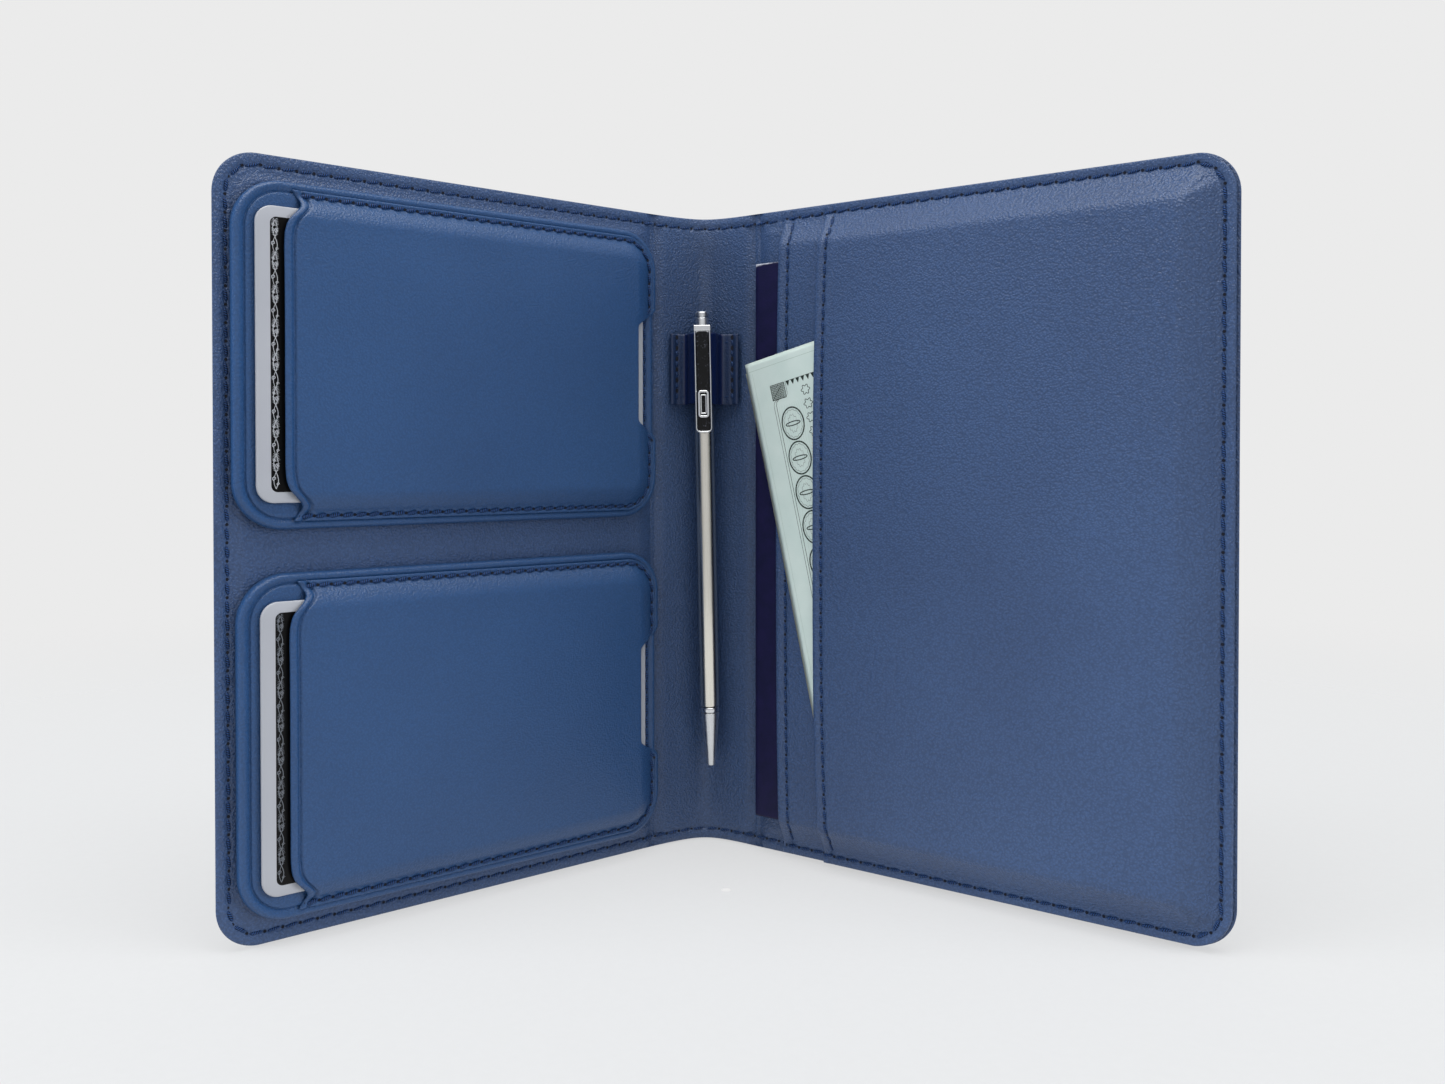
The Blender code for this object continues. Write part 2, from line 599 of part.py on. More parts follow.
def pen_clip(parent):
    """Channel-shaped clip with a bridge above the loop, dark inlay and small buckle."""
    back = -(PEN_RADIUS + 0.5 + LOOP_SKIN + GAP)
    front = back - 0.9
    floor = back - 0.3
    half = CLIP_WIDTH / 2
    bridge = -(PEN_RADIUS + GAP)
    rows = [(CLIP_BOTTOM, 1.0, front, back), (CLIP_BOTTOM + 0.35, 1.5, front, back),
            (CLIP_BOTTOM + 0.9, half, front, back), (CLIP_BOTTOM + 0.9, half, floor, back),
            (BARREL_TOP + 0.35, half, floor, back), (BARREL_TOP + 0.35, half, floor, bridge),
            (COLLAR_TOP - 0.5, half, floor, bridge), (COLLAR_TOP - 0.5, half, front, bridge),
            (COLLAR_TOP, half - 0.2, front, bridge)]
    rings = []
    for z, width, channel, rear in rows:
        section = clip_section(width, rear, front, channel, 0.45)
        rings.append(np.column_stack((section, np.full(len(section), z))))
    solid("pen_clip", loft(rings), "chrome", parent)
    box = (-half + 0.75, half - 0.75, CLIP_BOTTOM + 1.3, COLLAR_TOP - 0.9)
    inlay = slab(box, (0.3,) * 4, -(floor - 0.25), -front, 1, steps=3)
    solid("pen_clip_inlay", inlay, "inlay", parent)
    outer = rounded_rect(-1.2, 1.2, 80.4, 86.3, (0.7,) * 4, 0.0, 4)
    window = rounded_rect(-1.2, 1.2, 80.4, 86.3, (0.7,) * 4, 0.55, 4)
    window[:, 1] = 83.35 + (window[:, 1] - 83.35) * 0.8
    near, far = -front + GAP, -front + GAP + 0.5
    rings = [place(outer, near, 1), place(outer, far, 1), place(window, far, 1), place(window, near, 1)]
    solid("pen_clip_buckle", loft(rings, closed=True), "chrome", parent)


def pen_click(parent):
    """Push button, refill and ball tip, which move together."""
    top = PEN_LENGTH
    button = [(1.1, 93.6), (1.1, 95.0), (1.5, 95.6), (1.5, top - 1.5), (1.25, top - 1.4),
              (1.25, top - 1.2), (1.5, top - 1.1), (1.5, top - 0.2), (1.3, top)]
    solid("pen_button", turned(button), "chrome", parent)
    refill = [(1.0, 14.0), (1.1, 14.2), (1.1, 93.1), (1.0, 93.3)]
    solid("pen_refill", turned(refill, 16), "refill", parent)
    tip = [(0.15, 0.25), (0.42, 1.6), (0.42, 5.4), (0.6, 5.6), (0.6, 12.6), (0.9, 12.8), (0.9, 13.7)]
    solid("pen_tip", turned(tip, 16), "brass", parent)


def pen_spring(parent):
    """Return spring round the tip, resting inside the nose."""
    turns, steps, wire = 5, 12, 0.11
    t = np.linspace(0, 2 * math.pi * turns, turns * steps + 1)
    rings = []
    for angle, z in zip(t, np.linspace(5.6, 11.8, len(t))):
        outward = np.array((math.cos(angle), math.sin(angle), 0.0))
        centre = 1.05 * outward + np.array((0.0, 0.0, z))
        around = np.radians((45, 135, 225, 315, 360 + 45))[:4]
        up = np.array((0, 0, 1.0))
        ring = [centre + wire * (math.cos(a) * outward + math.sin(a) * up) for a in around]
        rings.append(np.array(ring))
    solid("pen_spring", loft(rings), "steel", parent)


def pen(parent):
    """The whole pen on its own leaning axis."""
    pull = empty("pen_pull", PEN_TIP, (0, PEN_LEAN, 0), parent)
    pen_shell(pull)
    pen_clip(pull)
    pen_spring(pull)
    click = empty("pen_click", (0, 0, 0), (0, 0, 0), pull)
    pen_click(click)


def centre_on_origin(root):
    """Shift the whole holder so that it stands centred on the origin."""
    bpy.context.view_layer.update()
    points = []
    for item in bpy.data.objects:
        if item.type == "MESH":
            points.extend(item.matrix_world @ vertex.co for vertex in item.data.vertices)
    points = np.array([tuple(point) for point in points])
    low, high = points.min(axis=0), points.max(axis=0)
    root.location = (-(low[0] + high[0]) / 2, -(low[1] + high[1]) / 2, -low[2])
    bpy.context.view_layer.update()


def main():
    """Build every piece."""
    clear_scene()
    root = empty("holder_root", (0, 0, 0), (0, 0, 0), None)
    left = empty("left_hinge", (-HINGE_HALF, 0, 0), (0, 0, LEFT_ANGLE), root)
    right = empty("right_hinge", (HINGE_HALF, 0, 0), (0, 0, -RIGHT_ANGLE), root)
    spine(root)
    pen_loop(root)
    cover("left", LEFT_WIDTH, -1, left)
    solid("left_cover_thread", seam(LEFT_WIDTH, -1, plain_level), "thread", left)
    card_holder("upper", UPPER_START, UPPER_MIDDLE, left)
    card_holder("lower", LOWER_START, LOWER_MIDDLE, left)
    cover("right", RIGHT_WIDTH, 1, right)
    solid("right_cover_thread", seam(RIGHT_WIDTH, 1, cover_edge_level), "thread", right)
    passport(right)
    right_pockets(right)
    notes(right)
    pen(root)
    centre_on_origin(root)


main()
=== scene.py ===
# %% [markdown]
# # A passport holder, standing open
# The frame of this model is already made: covers, pockets, cards and pen are solids with real joints.
# Here each of them gets its real surface.

# %% Load the frame
import json
import math

import bpy
import numpy as np
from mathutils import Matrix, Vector


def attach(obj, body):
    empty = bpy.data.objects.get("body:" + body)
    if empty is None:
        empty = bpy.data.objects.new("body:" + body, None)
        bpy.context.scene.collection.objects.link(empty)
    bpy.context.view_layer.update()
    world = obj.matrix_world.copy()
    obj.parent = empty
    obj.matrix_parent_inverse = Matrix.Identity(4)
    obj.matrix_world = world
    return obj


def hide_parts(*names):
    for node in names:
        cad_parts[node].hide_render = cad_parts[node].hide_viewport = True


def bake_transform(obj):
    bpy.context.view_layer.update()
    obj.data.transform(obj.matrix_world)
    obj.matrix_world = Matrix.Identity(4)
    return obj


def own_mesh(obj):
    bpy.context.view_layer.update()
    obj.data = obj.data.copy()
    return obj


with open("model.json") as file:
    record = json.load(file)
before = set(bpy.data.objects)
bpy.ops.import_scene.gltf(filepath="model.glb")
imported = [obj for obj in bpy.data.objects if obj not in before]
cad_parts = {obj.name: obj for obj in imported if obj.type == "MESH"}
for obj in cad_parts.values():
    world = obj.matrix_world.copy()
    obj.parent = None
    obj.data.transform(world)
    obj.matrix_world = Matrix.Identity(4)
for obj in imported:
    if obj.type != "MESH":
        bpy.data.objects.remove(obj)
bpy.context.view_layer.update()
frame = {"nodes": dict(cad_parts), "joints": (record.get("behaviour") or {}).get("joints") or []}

MM = 0.001
TURN = 2 * math.pi
joints = {joint["name"]: joint for joint in frame["joints"]}

# %% [markdown]
# ## Camera
# A folio this size is looked at from about a hand's length in front, so the V opens strongly towards us.
# The lens is a mild wide angle, level with the upper half of the covers, and the frame is shifted down a little.

# %% Camera
camera_data = bpy.data.cameras.new("camera")
camera_data.sensor_width = 36.0
camera_data.lens = 30.58
camera_data.shift_y = -0.0477
camera_data.clip_start = 0.01
camera_data.clip_end = 50.0
camera = bpy.data.objects.new("camera", camera_data)
bpy.context.scene.collection.objects.link(camera)
camera.location = (-0.00077, -0.2547, 0.09018)
camera.rotation_euler = (math.radians(89.18), 0.0, 0.0)
bpy.context.scene.camera = camera

# %% [markdown]
# ## A folded sheet in flat coordinates
# Leather is cut flat, so we draw it flat: s runs across the opened folio from the middle of the spine,
# z runs up, and w rises from the lining towards the reader. One function then bends the flat drawing
# round the spine and out along both covers, which is how the real skin is laid.

# %% The bend of the folio
HEIGHT = 145.5
HINGE_HALF = 11.3
SPINE_DEPTH = 6.0
SPINE_SLOPE = 0.83
left_pivot = np.array(joints["left_cover_fold"]["pos_m"][:2]) / MM
right_pivot = np.array(joints["right_cover_fold"]["pos_m"][:2]) / MM
spine_middle = (left_pivot + right_pivot) / 2
LEFT_ANGLE = math.radians(39.5)
RIGHT_ANGLE = math.radians(35.9)
LEFT_WIDTH = 98.0
RIGHT_WIDTH = 105.4


def spine_depth(x):
    """Depth of the lining behind the hinge line: a hyperbola with soft bottom and straight flanks."""
    bow = SPINE_SLOPE * HINGE_HALF
    a = (bow * bow - SPINE_DEPTH ** 2) / (2 * SPINE_DEPTH)
    return SPINE_DEPTH + a - np.sqrt(a * a + (SPINE_SLOPE * x) ** 2)


spine_x = np.linspace(-HINGE_HALF, HINGE_HALF, 801)
spine_y = spine_depth(spine_x)
spine_s = np.concatenate(([0.0], np.cumsum(np.hypot(np.diff(spine_x), np.diff(spine_y)))))
HALF_ARC = spine_s[-1] / 2
spine_s = spine_s - HALF_ARC
spine_slope = np.gradient(spine_y, spine_x)
spine_n = np.column_stack((spine_slope, -np.ones_like(spine_slope)))
spine_n /= np.linalg.norm(spine_n, axis=1)[:, None]
print("leather across the spine: %.1f mm" % (2 * HALF_ARC))


def on_cover(side, u, w, z):
    """Point on a cover: pivot + u * (direction of the cover) + w * (its inward normal); side is -1 or 1."""
    angle = LEFT_ANGLE if side < 0 else RIGHT_ANGLE
    pivot = left_pivot if side < 0 else right_pivot
    c, s = math.cos(angle), math.sin(angle)
    u, w, z = np.broadcast_arrays(u, w, z)
    x = pivot[0] + side * (u * c - w * s)
    y = pivot[1] - u * s - w * c
    return np.stack((x, y, z), axis=-1) * MM


def on_folio(s, w, z):
    """Flat sheet to folio: within the spine it follows the bowed curve, outside it the straight covers."""
    s, w, z = np.broadcast_arrays(np.asarray(s, float), w, z)
    t = np.clip(s, -HALF_ARC, HALF_ARC)
    x = spine_middle[0] + np.interp(t, spine_s, spine_x) + w * np.interp(t, spine_s, spine_n[:, 0])
    y = spine_middle[1] + np.interp(t, spine_s, spine_y) + w * np.interp(t, spine_s, spine_n[:, 1])
    inside = np.stack((x, y, z), axis=-1) * MM
    left = on_cover(-1, -s - HALF_ARC, w, z)
    right = on_cover(1, s - HALF_ARC, w, z)
    result = np.where((s < -HALF_ARC)[..., None], left, inside)
    return np.where((s > HALF_ARC)[..., None], right, result)


# %% [markdown]
# ## Turning arrays into meshes
# Every piece below is a grid of points worked out with numpy. These helpers turn a grid into faces:
# an open surface, a closed sheet whose two sides share their border, or a tube closed with flat ends.

# %% Mesh helpers
def link_mesh(name, points, faces, material, smooth=True):
    """Make one object from points in metres and faces given as point numbers."""
    mesh = bpy.data.meshes.new(name)
    mesh.from_pydata(np.asarray(points).reshape(-1, 3).tolist(), [], [tuple(f) for f in faces])
    mesh.validate()
    piece = bpy.data.objects.new(name, mesh)
    bpy.context.scene.collection.objects.link(piece)
    mesh.materials.append(material)
    mesh.polygons.foreach_set("use_smooth", [smooth] * len(mesh.polygons))
    return piece


def grid_quads(rows, columns, wrap=False):
    """Quads of a rows x columns grid; wrap joins the last column to the first."""
    i = np.arange(rows - 1)[:, None]
    j = np.arange(columns if wrap else columns - 1)[None, :]
    k = (j + 1) % columns
    a, b = i * columns + j, i * columns + k
    return np.stack((a, b, b + columns, a + columns), axis=-1).reshape(-1, 4)


def per_face(mesh, what, size=3):
    """One measure of every face of a mesh, such as its centre, normal or area."""
    values = np.zeros(len(mesh.polygons) * size)
    mesh.polygons.foreach_get(what, values)
    return values.reshape(-1, size)


def volume_out(piece):
    """Turn a closed piece's faces outwards: its volume, a sum of (point . normal) * area, is then positive."""
    mesh = piece.data
    share = (per_face(mesh, "center") * per_face(mesh, "normal")).sum(axis=1)
    if (share * per_face(mesh, "area", 1)[:, 0]).sum() < 0:
        mesh.flip_normals()
    return piece


def closed_sheet(name, front, back, material):
    """Two grids that share their border points: front supplies the border, back only its inside."""
    rows, columns = front.shape[:2]
    index = np.arange(rows * columns).reshape(rows, columns)
    back_index = index.copy()
    inner = back_index[1:-1, 1:-1]
    back_index[1:-1, 1:-1] = rows * columns + np.arange(inner.size).reshape(inner.shape)
    points = np.vstack((front.reshape(-1, 3), back[1:-1, 1:-1].reshape(-1, 3)))
    quads = grid_quads(rows, columns)
    faces = np.vstack((index.ravel()[quads], back_index.ravel()[quads][:, ::-1]))
    return volume_out(link_mesh(name, points, faces, material))


def keep_sharp(piece, border):
    """Keep an edge crisp where both of its points are marked, so that shading doesn't roll over a cut."""
    marked = np.zeros(len(piece.data.vertices), bool)
    marked[:len(border)] = border
    pairs = np.zeros(len(piece.data.edges) * 2, np.int32)
    piece.data.edges.foreach_get("vertices", pairs)
    both = marked[pairs].reshape(-1, 2).all(axis=1)
    piece.data.edges.foreach_set("use_edge_sharp", both)


def capped_rings(name, rings, material, smooth=True):
    """Rings of equal length skinned into a body; each end is closed by a fan to its centre."""
    rings = np.asarray(rings)
    count, around = rings.shape[:2]
    centres = rings[[0, -1]].mean(axis=1)
    points = np.vstack((rings.reshape(-1, 3), centres))
    quads = [tuple(q) for q in grid_quads(count, around, wrap=True)]
    ring = np.arange(around)
    following = (ring + 1) % around
    low = [(int(b), int(a), count * around) for a, b in zip(ring, following)]
    top = (count - 1) * around
    high = [(top + int(a), top + int(b), count * around + 1) for a, b in zip(ring, following)]
    return volume_out(link_mesh(name, points, quads + low + high, material, smooth))


def smooth_step(t):
    """Soft rise from nought to one: 3t^2 - 2t^3."""
    t = np.clip(t, 0.0, 1.0)
    return t * t * (3 - 2 * t)


def hump(x, at, wide):
    """Smooth bump of height one: exp(-((x - at) / wide)^2)."""
    return np.exp(-((x - at) / wide) ** 2)


def unit(rows):
    """Every row scaled to length one."""
    return rows / np.maximum(np.linalg.norm(rows, axis=1), 1e-9)[:, None]


def distances(line):
    """Distance of each point of a polyline from its start, measured along it."""
    return np.concatenate(([0.0], np.cumsum(np.linalg.norm(np.diff(line, axis=0), axis=1))))


def read_off(where, reach, line):
    """Points of a polyline at given distances along it."""
    return np.column_stack([np.interp(where, reach, column) for column in np.asarray(line).T])


def belongs(piece, body, slot, *nodes):
    """Say which body a piece rides on and which solids it stands in for; slot is not used."""
    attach(piece, body)
    if nodes:
        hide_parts(*nodes)
    print(piece.name, len(piece.data.polygons), "faces")
    return piece


def round_over(distance, radius):
    """Height share of a rolled edge: a quarter circle over the first radius from the border."""
    t = np.clip(distance / radius, 0.0, 1.0)
    return np.sqrt(np.maximum(1 - (1 - t) ** 2, 0.0))


def from_border(fine, border):
    """Distances in from a border: very close at the rolled edge, then a fine even step."""
    return np.concatenate(([0.0, 0.04, 0.12, 0.24, 0.4], np.arange(0.6, border - 0.5 * fine, fine)))


def spaced(length, fine, coarse, border):
    """Sample positions from 0 to length: a fine step within border of both ends, a coarse one between."""
    edge = from_border(fine, border)
    count = max(int((length - 2 * border) / coarse), 1)
    return np.concatenate((edge, np.linspace(border, length - border, count + 1), length - edge[::-1]))


# %% [markdown]
# ## Materials: a small tool
# Shader graphs read like recipes when each node is one call. Colours are written as the hex values a
# designer would pick, and turned to linear light in one place.

# %% Material tools
def linear(hex_colour):
    """sRGB hex to a linear RGBA tuple."""
    values = [int(hex_colour[i:i + 2], 16) / 255 for i in (1, 3, 5)]
    values = [v / 12.92 if v <= 0.04045 else ((v + 0.055) / 1.055) ** 2.4 for v in values]
    return (*values, 1.0)


def fill(tree, made, inputs):
    """Give a node's inputs, by name or number, their sources: the socket of another node, or a constant."""
    for key, source in inputs.items():
        if isinstance(source, bpy.types.NodeSocket):
            tree.links.new(source, made.inputs[key])
        else:
            made.inputs[key].default_value = source


def node(tree, kind, settings=None, inputs=None, **named):
    """Add one node: settings are its properties and a ramp's stops, inputs and named are its sources."""
    made = tree.nodes.new(kind)
    for key, value in (settings or {}).items():
        if key != "stops":
            setattr(made, key, value)
            continue
        elements = made.color_ramp.elements
        for position, _ in value[2:]:
            elements.new(position)
        for element, (position, colour) in zip(elements, value):
            element.position = position
            element.color = linear(colour) if isinstance(colour, str) else (colour, colour, colour, 1.0)
    fill(tree, made, {**(inputs or {}), **{key.replace("_", " "): source for key, source in named.items()}})
    return made


def new_material(name):
    """A material with a node tree holding only a Principled shader, returned with its tree."""
    material = bpy.data.materials.new(name)
    material.use_nodes = True
    tree = material.node_tree
    return material, tree, tree.nodes["Principled BSDF"]


# %% [markdown]
# ## Grained PU leather
# The skin of the folio is polyurethane-coated leather, dyed navy and embossed with a fine pebble grain,
# 0.45 mm from pebble to pebble. The holders wear a smoother and bluer skin with a grain of 0.4 mm.
# Between the pebbles the coat is a little rougher and darker, and slow waves in the hide shift its tone.

# %% Leather
def leather(name, tone, depth_tone, roughness, grain, relief, pit=0.8):
    """Embossed leather: Voronoi pebbles and fine noise for the relief, slow noise for the tone."""
    material, tree, shader = new_material(name)
    place = node(tree, "ShaderNodeTexCoord").outputs["Object"]
    warp = node(tree, "ShaderNodeTexNoise", Vector=place, Scale=700.0, Detail=2.0)
    bent = node(tree, "ShaderNodeVectorMath", {"operation": "MULTIPLY_ADD"},
                {0: warp.outputs["Color"], 1: (0.0008, 0.0008, 0.0008), 2: place})
    pebbles = node(tree, "ShaderNodeTexVoronoi", {"feature": "SMOOTH_F1"}, Vector=bent.outputs["Vector"],
                   Scale=1000.0 / grain, Smoothness=0.5).outputs["Distance"]
    fine = node(tree, "ShaderNodeTexNoise", Vector=place, Scale=2200.0, Detail=3.0, Roughness=0.6)
    waves = node(tree, "ShaderNodeTexNoise", Vector=place, Scale=24.0, Detail=2.0, Roughness=0.5)
    height = node(tree, "ShaderNodeMath", {"operation": "MULTIPLY_ADD"},
                  {0: fine.outputs["Fac"], 1: -0.5, 2: pebbles})
    bump = node(tree, "ShaderNodeBump", {"invert": True}, Height=height.outputs["Value"], Strength=1.0,
                Distance=relief * MM)
    slow = node(tree, "ShaderNodeValToRGB", {"stops": ((0.3, depth_tone), (0.7, tone))}, Fac=waves.outputs["Fac"])
    pits = node(tree, "ShaderNodeValToRGB", {"stops": ((0.15, 1.0), (0.65, pit))}, Fac=pebbles)
    colour = node(tree, "ShaderNodeMix", {"data_type": "RGBA", "blend_type": "MULTIPLY"},
                  {0: 1.0, 6: slow.outputs["Color"], 7: pits.outputs["Color"]})
    dull = node(tree, "ShaderNodeMapRange", Value=pebbles, To_Min=roughness - 0.06, To_Max=roughness + 0.14)
    fill(tree, shader, {"Base Color": colour.outputs[2], "Roughness": dull.outputs["Result"],
                        "Normal": bump.outputs["Normal"]})
    return material


FOLIO_LEATHER = ("#39527b", "#344b72", 0.38, 0.45, 0.17, 0.70)
LINING_SKIN = leather("navy_pebbled_pu_leather", *FOLIO_LEATHER)
HOLDER_SKIN = leather("navy_smooth_pu_leather", "#264a78", "#234571", 0.36, 0.4, 0.085)
OUTER_SKIN = leather("navy_outer_pu_leather", *FOLIO_LEATHER)
TAB_SKIN = leather("dark_navy_tab_leather", "#1d3359", "#192d50", 0.40, 0.4, 0.06)
# the loop's middle is glossier leather, and its darker tone is painted shade and the pen's dark reflection
LOOP_SKIN = leather("glossy_navy_leather_painted_shade", "#0b1f4d", "#081943", 0.30, 0.5, 0.02)

# %% [markdown]
# ## Bonded polyester thread
# The seams are sewn with a thick bonded thread, two strands twisted together and dyed darker than the
# leather. The twist runs round each stitch at about 0.5 mm a turn, and its ridges are painted lighter as painted
# highlights.

# %% Thread
def twisted_thread(name, tone):
    """Dark thread with a diagonal twist: bands across U + V of its own map, their light tone a painted highlight, and
    a soft gloss.
    """
    material, tree, shader = new_material(name)
    flat = node(tree, "ShaderNodeUVMap", {"uv_map": "stitch"}).outputs["UV"]
    bands = node(tree, "ShaderNodeTexWave", {"bands_direction": "DIAGONAL"}, Vector=flat, Scale=1.4, Distortion=0.6,
                 Detail=1.0).outputs["Fac"]
    # the ramp runs from the thread's dark dye to a lighter blue that paints highlights on the ridges of the twist
    colour = node(tree, "ShaderNodeValToRGB", {"stops": ((0.2, tone[0]), (0.9, tone[1]))}, Fac=bands)
    bump = node(tree, "ShaderNodeBump", Height=bands, Strength=0.6, Distance=0.05 * MM)
    fill(tree, shader, {"Base Color": colour.outputs["Color"], "Normal": bump.outputs["Normal"], "Roughness": 0.50,
                        "Specular IOR Level": 0.22})
    return material


THREAD = twisted_thread("bonded_polyester_thread", ("#030817", "#2b4a7e"))
HOLE, hole_tree, hole_shader = new_material("needle_hole_shadow")
fill(hole_tree, hole_shader, {"Base Color": linear("#050a1a"), "Roughness": 0.9})

# %% [markdown]
# ## Stitches
# A lockstitch shows as short slanted beads, each diving into a needle hole at both ends. One bead is a
# tube whose radius swells in the middle; the whole seam is the same bead placed along a path.

# %% Stitch maker
def along_path(path, pitch):
    """Even points on a polyline, the unit direction at each, and the actual pitch, near the one asked for."""
    reach = distances(path)
    count = max(int(round(reach[-1] / pitch)), 1)
    where = (np.arange(count) + 0.5) * reach[-1] / count
    ahead, behind = (read_off(where + d * MM, reach, path) for d in (0.3, -0.3))
    direction = ahead - behind
    return read_off(where, reach, path), direction / np.linalg.norm(direction, axis=1)[:, None], reach[-1] / count


BEAD_SPAN = np.array([-1.0, -0.86, -0.55, 0.0, 0.55, 0.86, 1.0])
BEAD_SWELL = np.array([0.30, 0.72, 0.98, 1.05, 0.98, 0.72, 0.30])
BEAD_SIDES = 6
BEAD_POINTS = len(BEAD_SPAN) * BEAD_SIDES
BEAD_ENDS = np.array([[0, 5, 4, 1], [1, 4, 3, 2], [36, 37, 40, 41], [37, 38, 39, 40]])
HOLE_FACES = np.array([[0, 1, 2, 5], [5, 2, 3, 4]])


def stitches(name, path, normal, body, node_name=None, pitch=3.3, length=0.74, thick=0.31, slant=9.0, hole=0.32):
    """Beads along a path, lengths in millimetres; length is a share of the pitch, hole a needle hole's radius.

    Bead point = centre + t*L/2*T + r(t)*(cos a * B + 0.75 sin a * N) - 0.22 t^6 * N, for T along the slanted
    bead, B across it and N out of the leather.
    """
    points, ahead, actual = along_path(path, pitch * MM)
    normal = np.broadcast_to(np.asarray(normal, float), points.shape)
    normal = normal - (normal * ahead).sum(axis=1)[:, None] * ahead
    normal = unit(normal)
    side = np.cross(normal, ahead)
    turn = math.radians(slant)
    along = ahead * math.cos(turn) + side * math.sin(turn)
    across = side * math.cos(turn) - ahead * math.sin(turn)
    t = BEAD_SPAN
    radius = thick * MM * BEAD_SWELL
    dip = 0.22 * MM * t ** 6
    angle = np.arange(BEAD_SIDES) / BEAD_SIDES * TURN
    centre = points[:, None, :] + t[None, :, None] * length * actual / 2 * along[:, None, :]
    centre = centre - dip[None, :, None] * normal[:, None, :]
    ring = np.cos(angle)[:, None, None] * across + 0.75 * np.sin(angle)[:, None, None] * normal
    beads = centre[:, :, None, :] + radius[None, :, None, None] * ring.transpose(1, 0, 2)[:, None, :, :]
    count = len(points)
    one = np.vstack((grid_quads(len(t), BEAD_SIDES, wrap=True), BEAD_ENDS))
    faces = (one[None] + (np.arange(count) * BEAD_POINTS)[:, None, None]).reshape(-1, 4)
    verts = beads.reshape(-1, 3)
    edge = points[:, None, :] + (actual / 2) * ahead[:, None, :]
    disc = hole * MM * (np.cos(angle)[:, None, None] * side + np.sin(angle)[:, None, None] * ahead)
    discs = edge + disc.transpose(1, 0, 2) + 0.015 * MM * normal[:, None, :]
    hole_faces = (HOLE_FACES[None] + len(verts) + (np.arange(count) * BEAD_SIDES)[:, None, None]).reshape(-1, 4)
    slots = np.repeat([0, 1], [len(faces), len(hole_faces)])
    verts = np.vstack((verts, discs.reshape(-1, 3)))
    faces = np.vstack((faces, hole_faces))
    piece = link_mesh(name, verts, faces, THREAD)
    piece.data.materials.append(HOLE)
    piece.data.polygons.foreach_set("material_index", slots.astype(np.int32))
    layer = piece.data.uv_layers.new(name="stitch")
    index = np.zeros(len(piece.data.loops), np.int32)
    piece.data.loops.foreach_get("vertex_index", index)
    local = index % BEAD_POINTS
    uv = np.column_stack((local // BEAD_SIDES / BEAD_SIDES * 4.0, local % BEAD_SIDES / BEAD_SIDES))
    layer.data.foreach_set("uv", uv.ravel())
    if isinstance(body, tuple):
        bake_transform(piece)
    else:
        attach(piece, body)
    if node_name:
        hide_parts(node_name)
    return piece


# %% [markdown]
# ## Lining and outer leather
# Both skins run in one piece from cover to cover round the spine. Each is split down the middle of the
# spine into a left and a right half. The edge seam pulls the skins together in a groove, the board inside
# lifts them again, and a soft crease marks each fold.

# %% Folio skins
EDGE_SEAM = 2.3
CORNER = 8.0
PITCH = 3.3
RIM = 5.4  # width of the finely drawn rim
SOFT_HALF = 2.6  # half of the stretch that bends at a fold


def draw_in(z, low, high, radius):
    """How far a rounded end has drawn in at height z."""
    near = np.minimum(z - low, high - z)
    drop = np.clip(radius - near, 0.0, radius)
    return radius - np.sqrt(np.maximum(radius ** 2 - drop ** 2, 0.0))


def depth_inside(from_end, from_side, radius):
    """Distance in from an outline with rounded corners."""
    a = np.maximum(radius - from_end, 0.0)
    b = np.maximum(radius - from_side, 0.0)
    return np.where((a > 0) & (b > 0), radius - np.hypot(a, b), np.minimum(from_end, from_side))


def folio_grid(side, width, tuck):
    """s, z and depth from the edge on one half of the folio, rounded at its outer corners, smaller by tuck."""
    reach = HALF_ARC + width - tuck
    z = spaced(HEIGHT, 0.3, 0.85, RIM) * (1 - 2 * tuck * 0.4 / HEIGHT) + tuck * 0.4
    outer = from_border(0.3, RIM)
    span = np.concatenate((np.linspace(0.0, HALF_ARC + 5.0, 46), np.linspace(HALF_ARC + 6.0, reach - RIM, 90)))
    columns = np.concatenate((span, (reach - outer)[::-1]))
    shrink = draw_in(z, 0.0, HEIGHT, CORNER)
    share = smooth_step((columns - (reach - 30.0)) / 30.0)
    s = columns[None, :] - shrink[:, None] * share[None, :]
    z = np.repeat(z[:, None], len(columns), axis=1)
    depth = depth_inside(reach - s, np.minimum(z, HEIGHT - z), CORNER)
    return side * s, z, np.maximum(depth, 0.0)


def seam_groove(depth, phase):
    """Groove at the seam, pinched at each stitch hole, with the leather puffed up on its outer side."""
    pinch = 0.65 + 0.35 * np.cos(TURN * phase / PITCH)
    groove = 0.32 * pinch * hump(depth, EDGE_SEAM, 0.42)
    puff = 0.10 * hump(depth, 1.1, 0.6)
    return puff - groove


def crease(s, deep, wide=1.1):
    """Shallow channel where the board ends beside the spine."""
    return -deep * hump(np.abs(s), HALF_ARC + 0.2, wide)


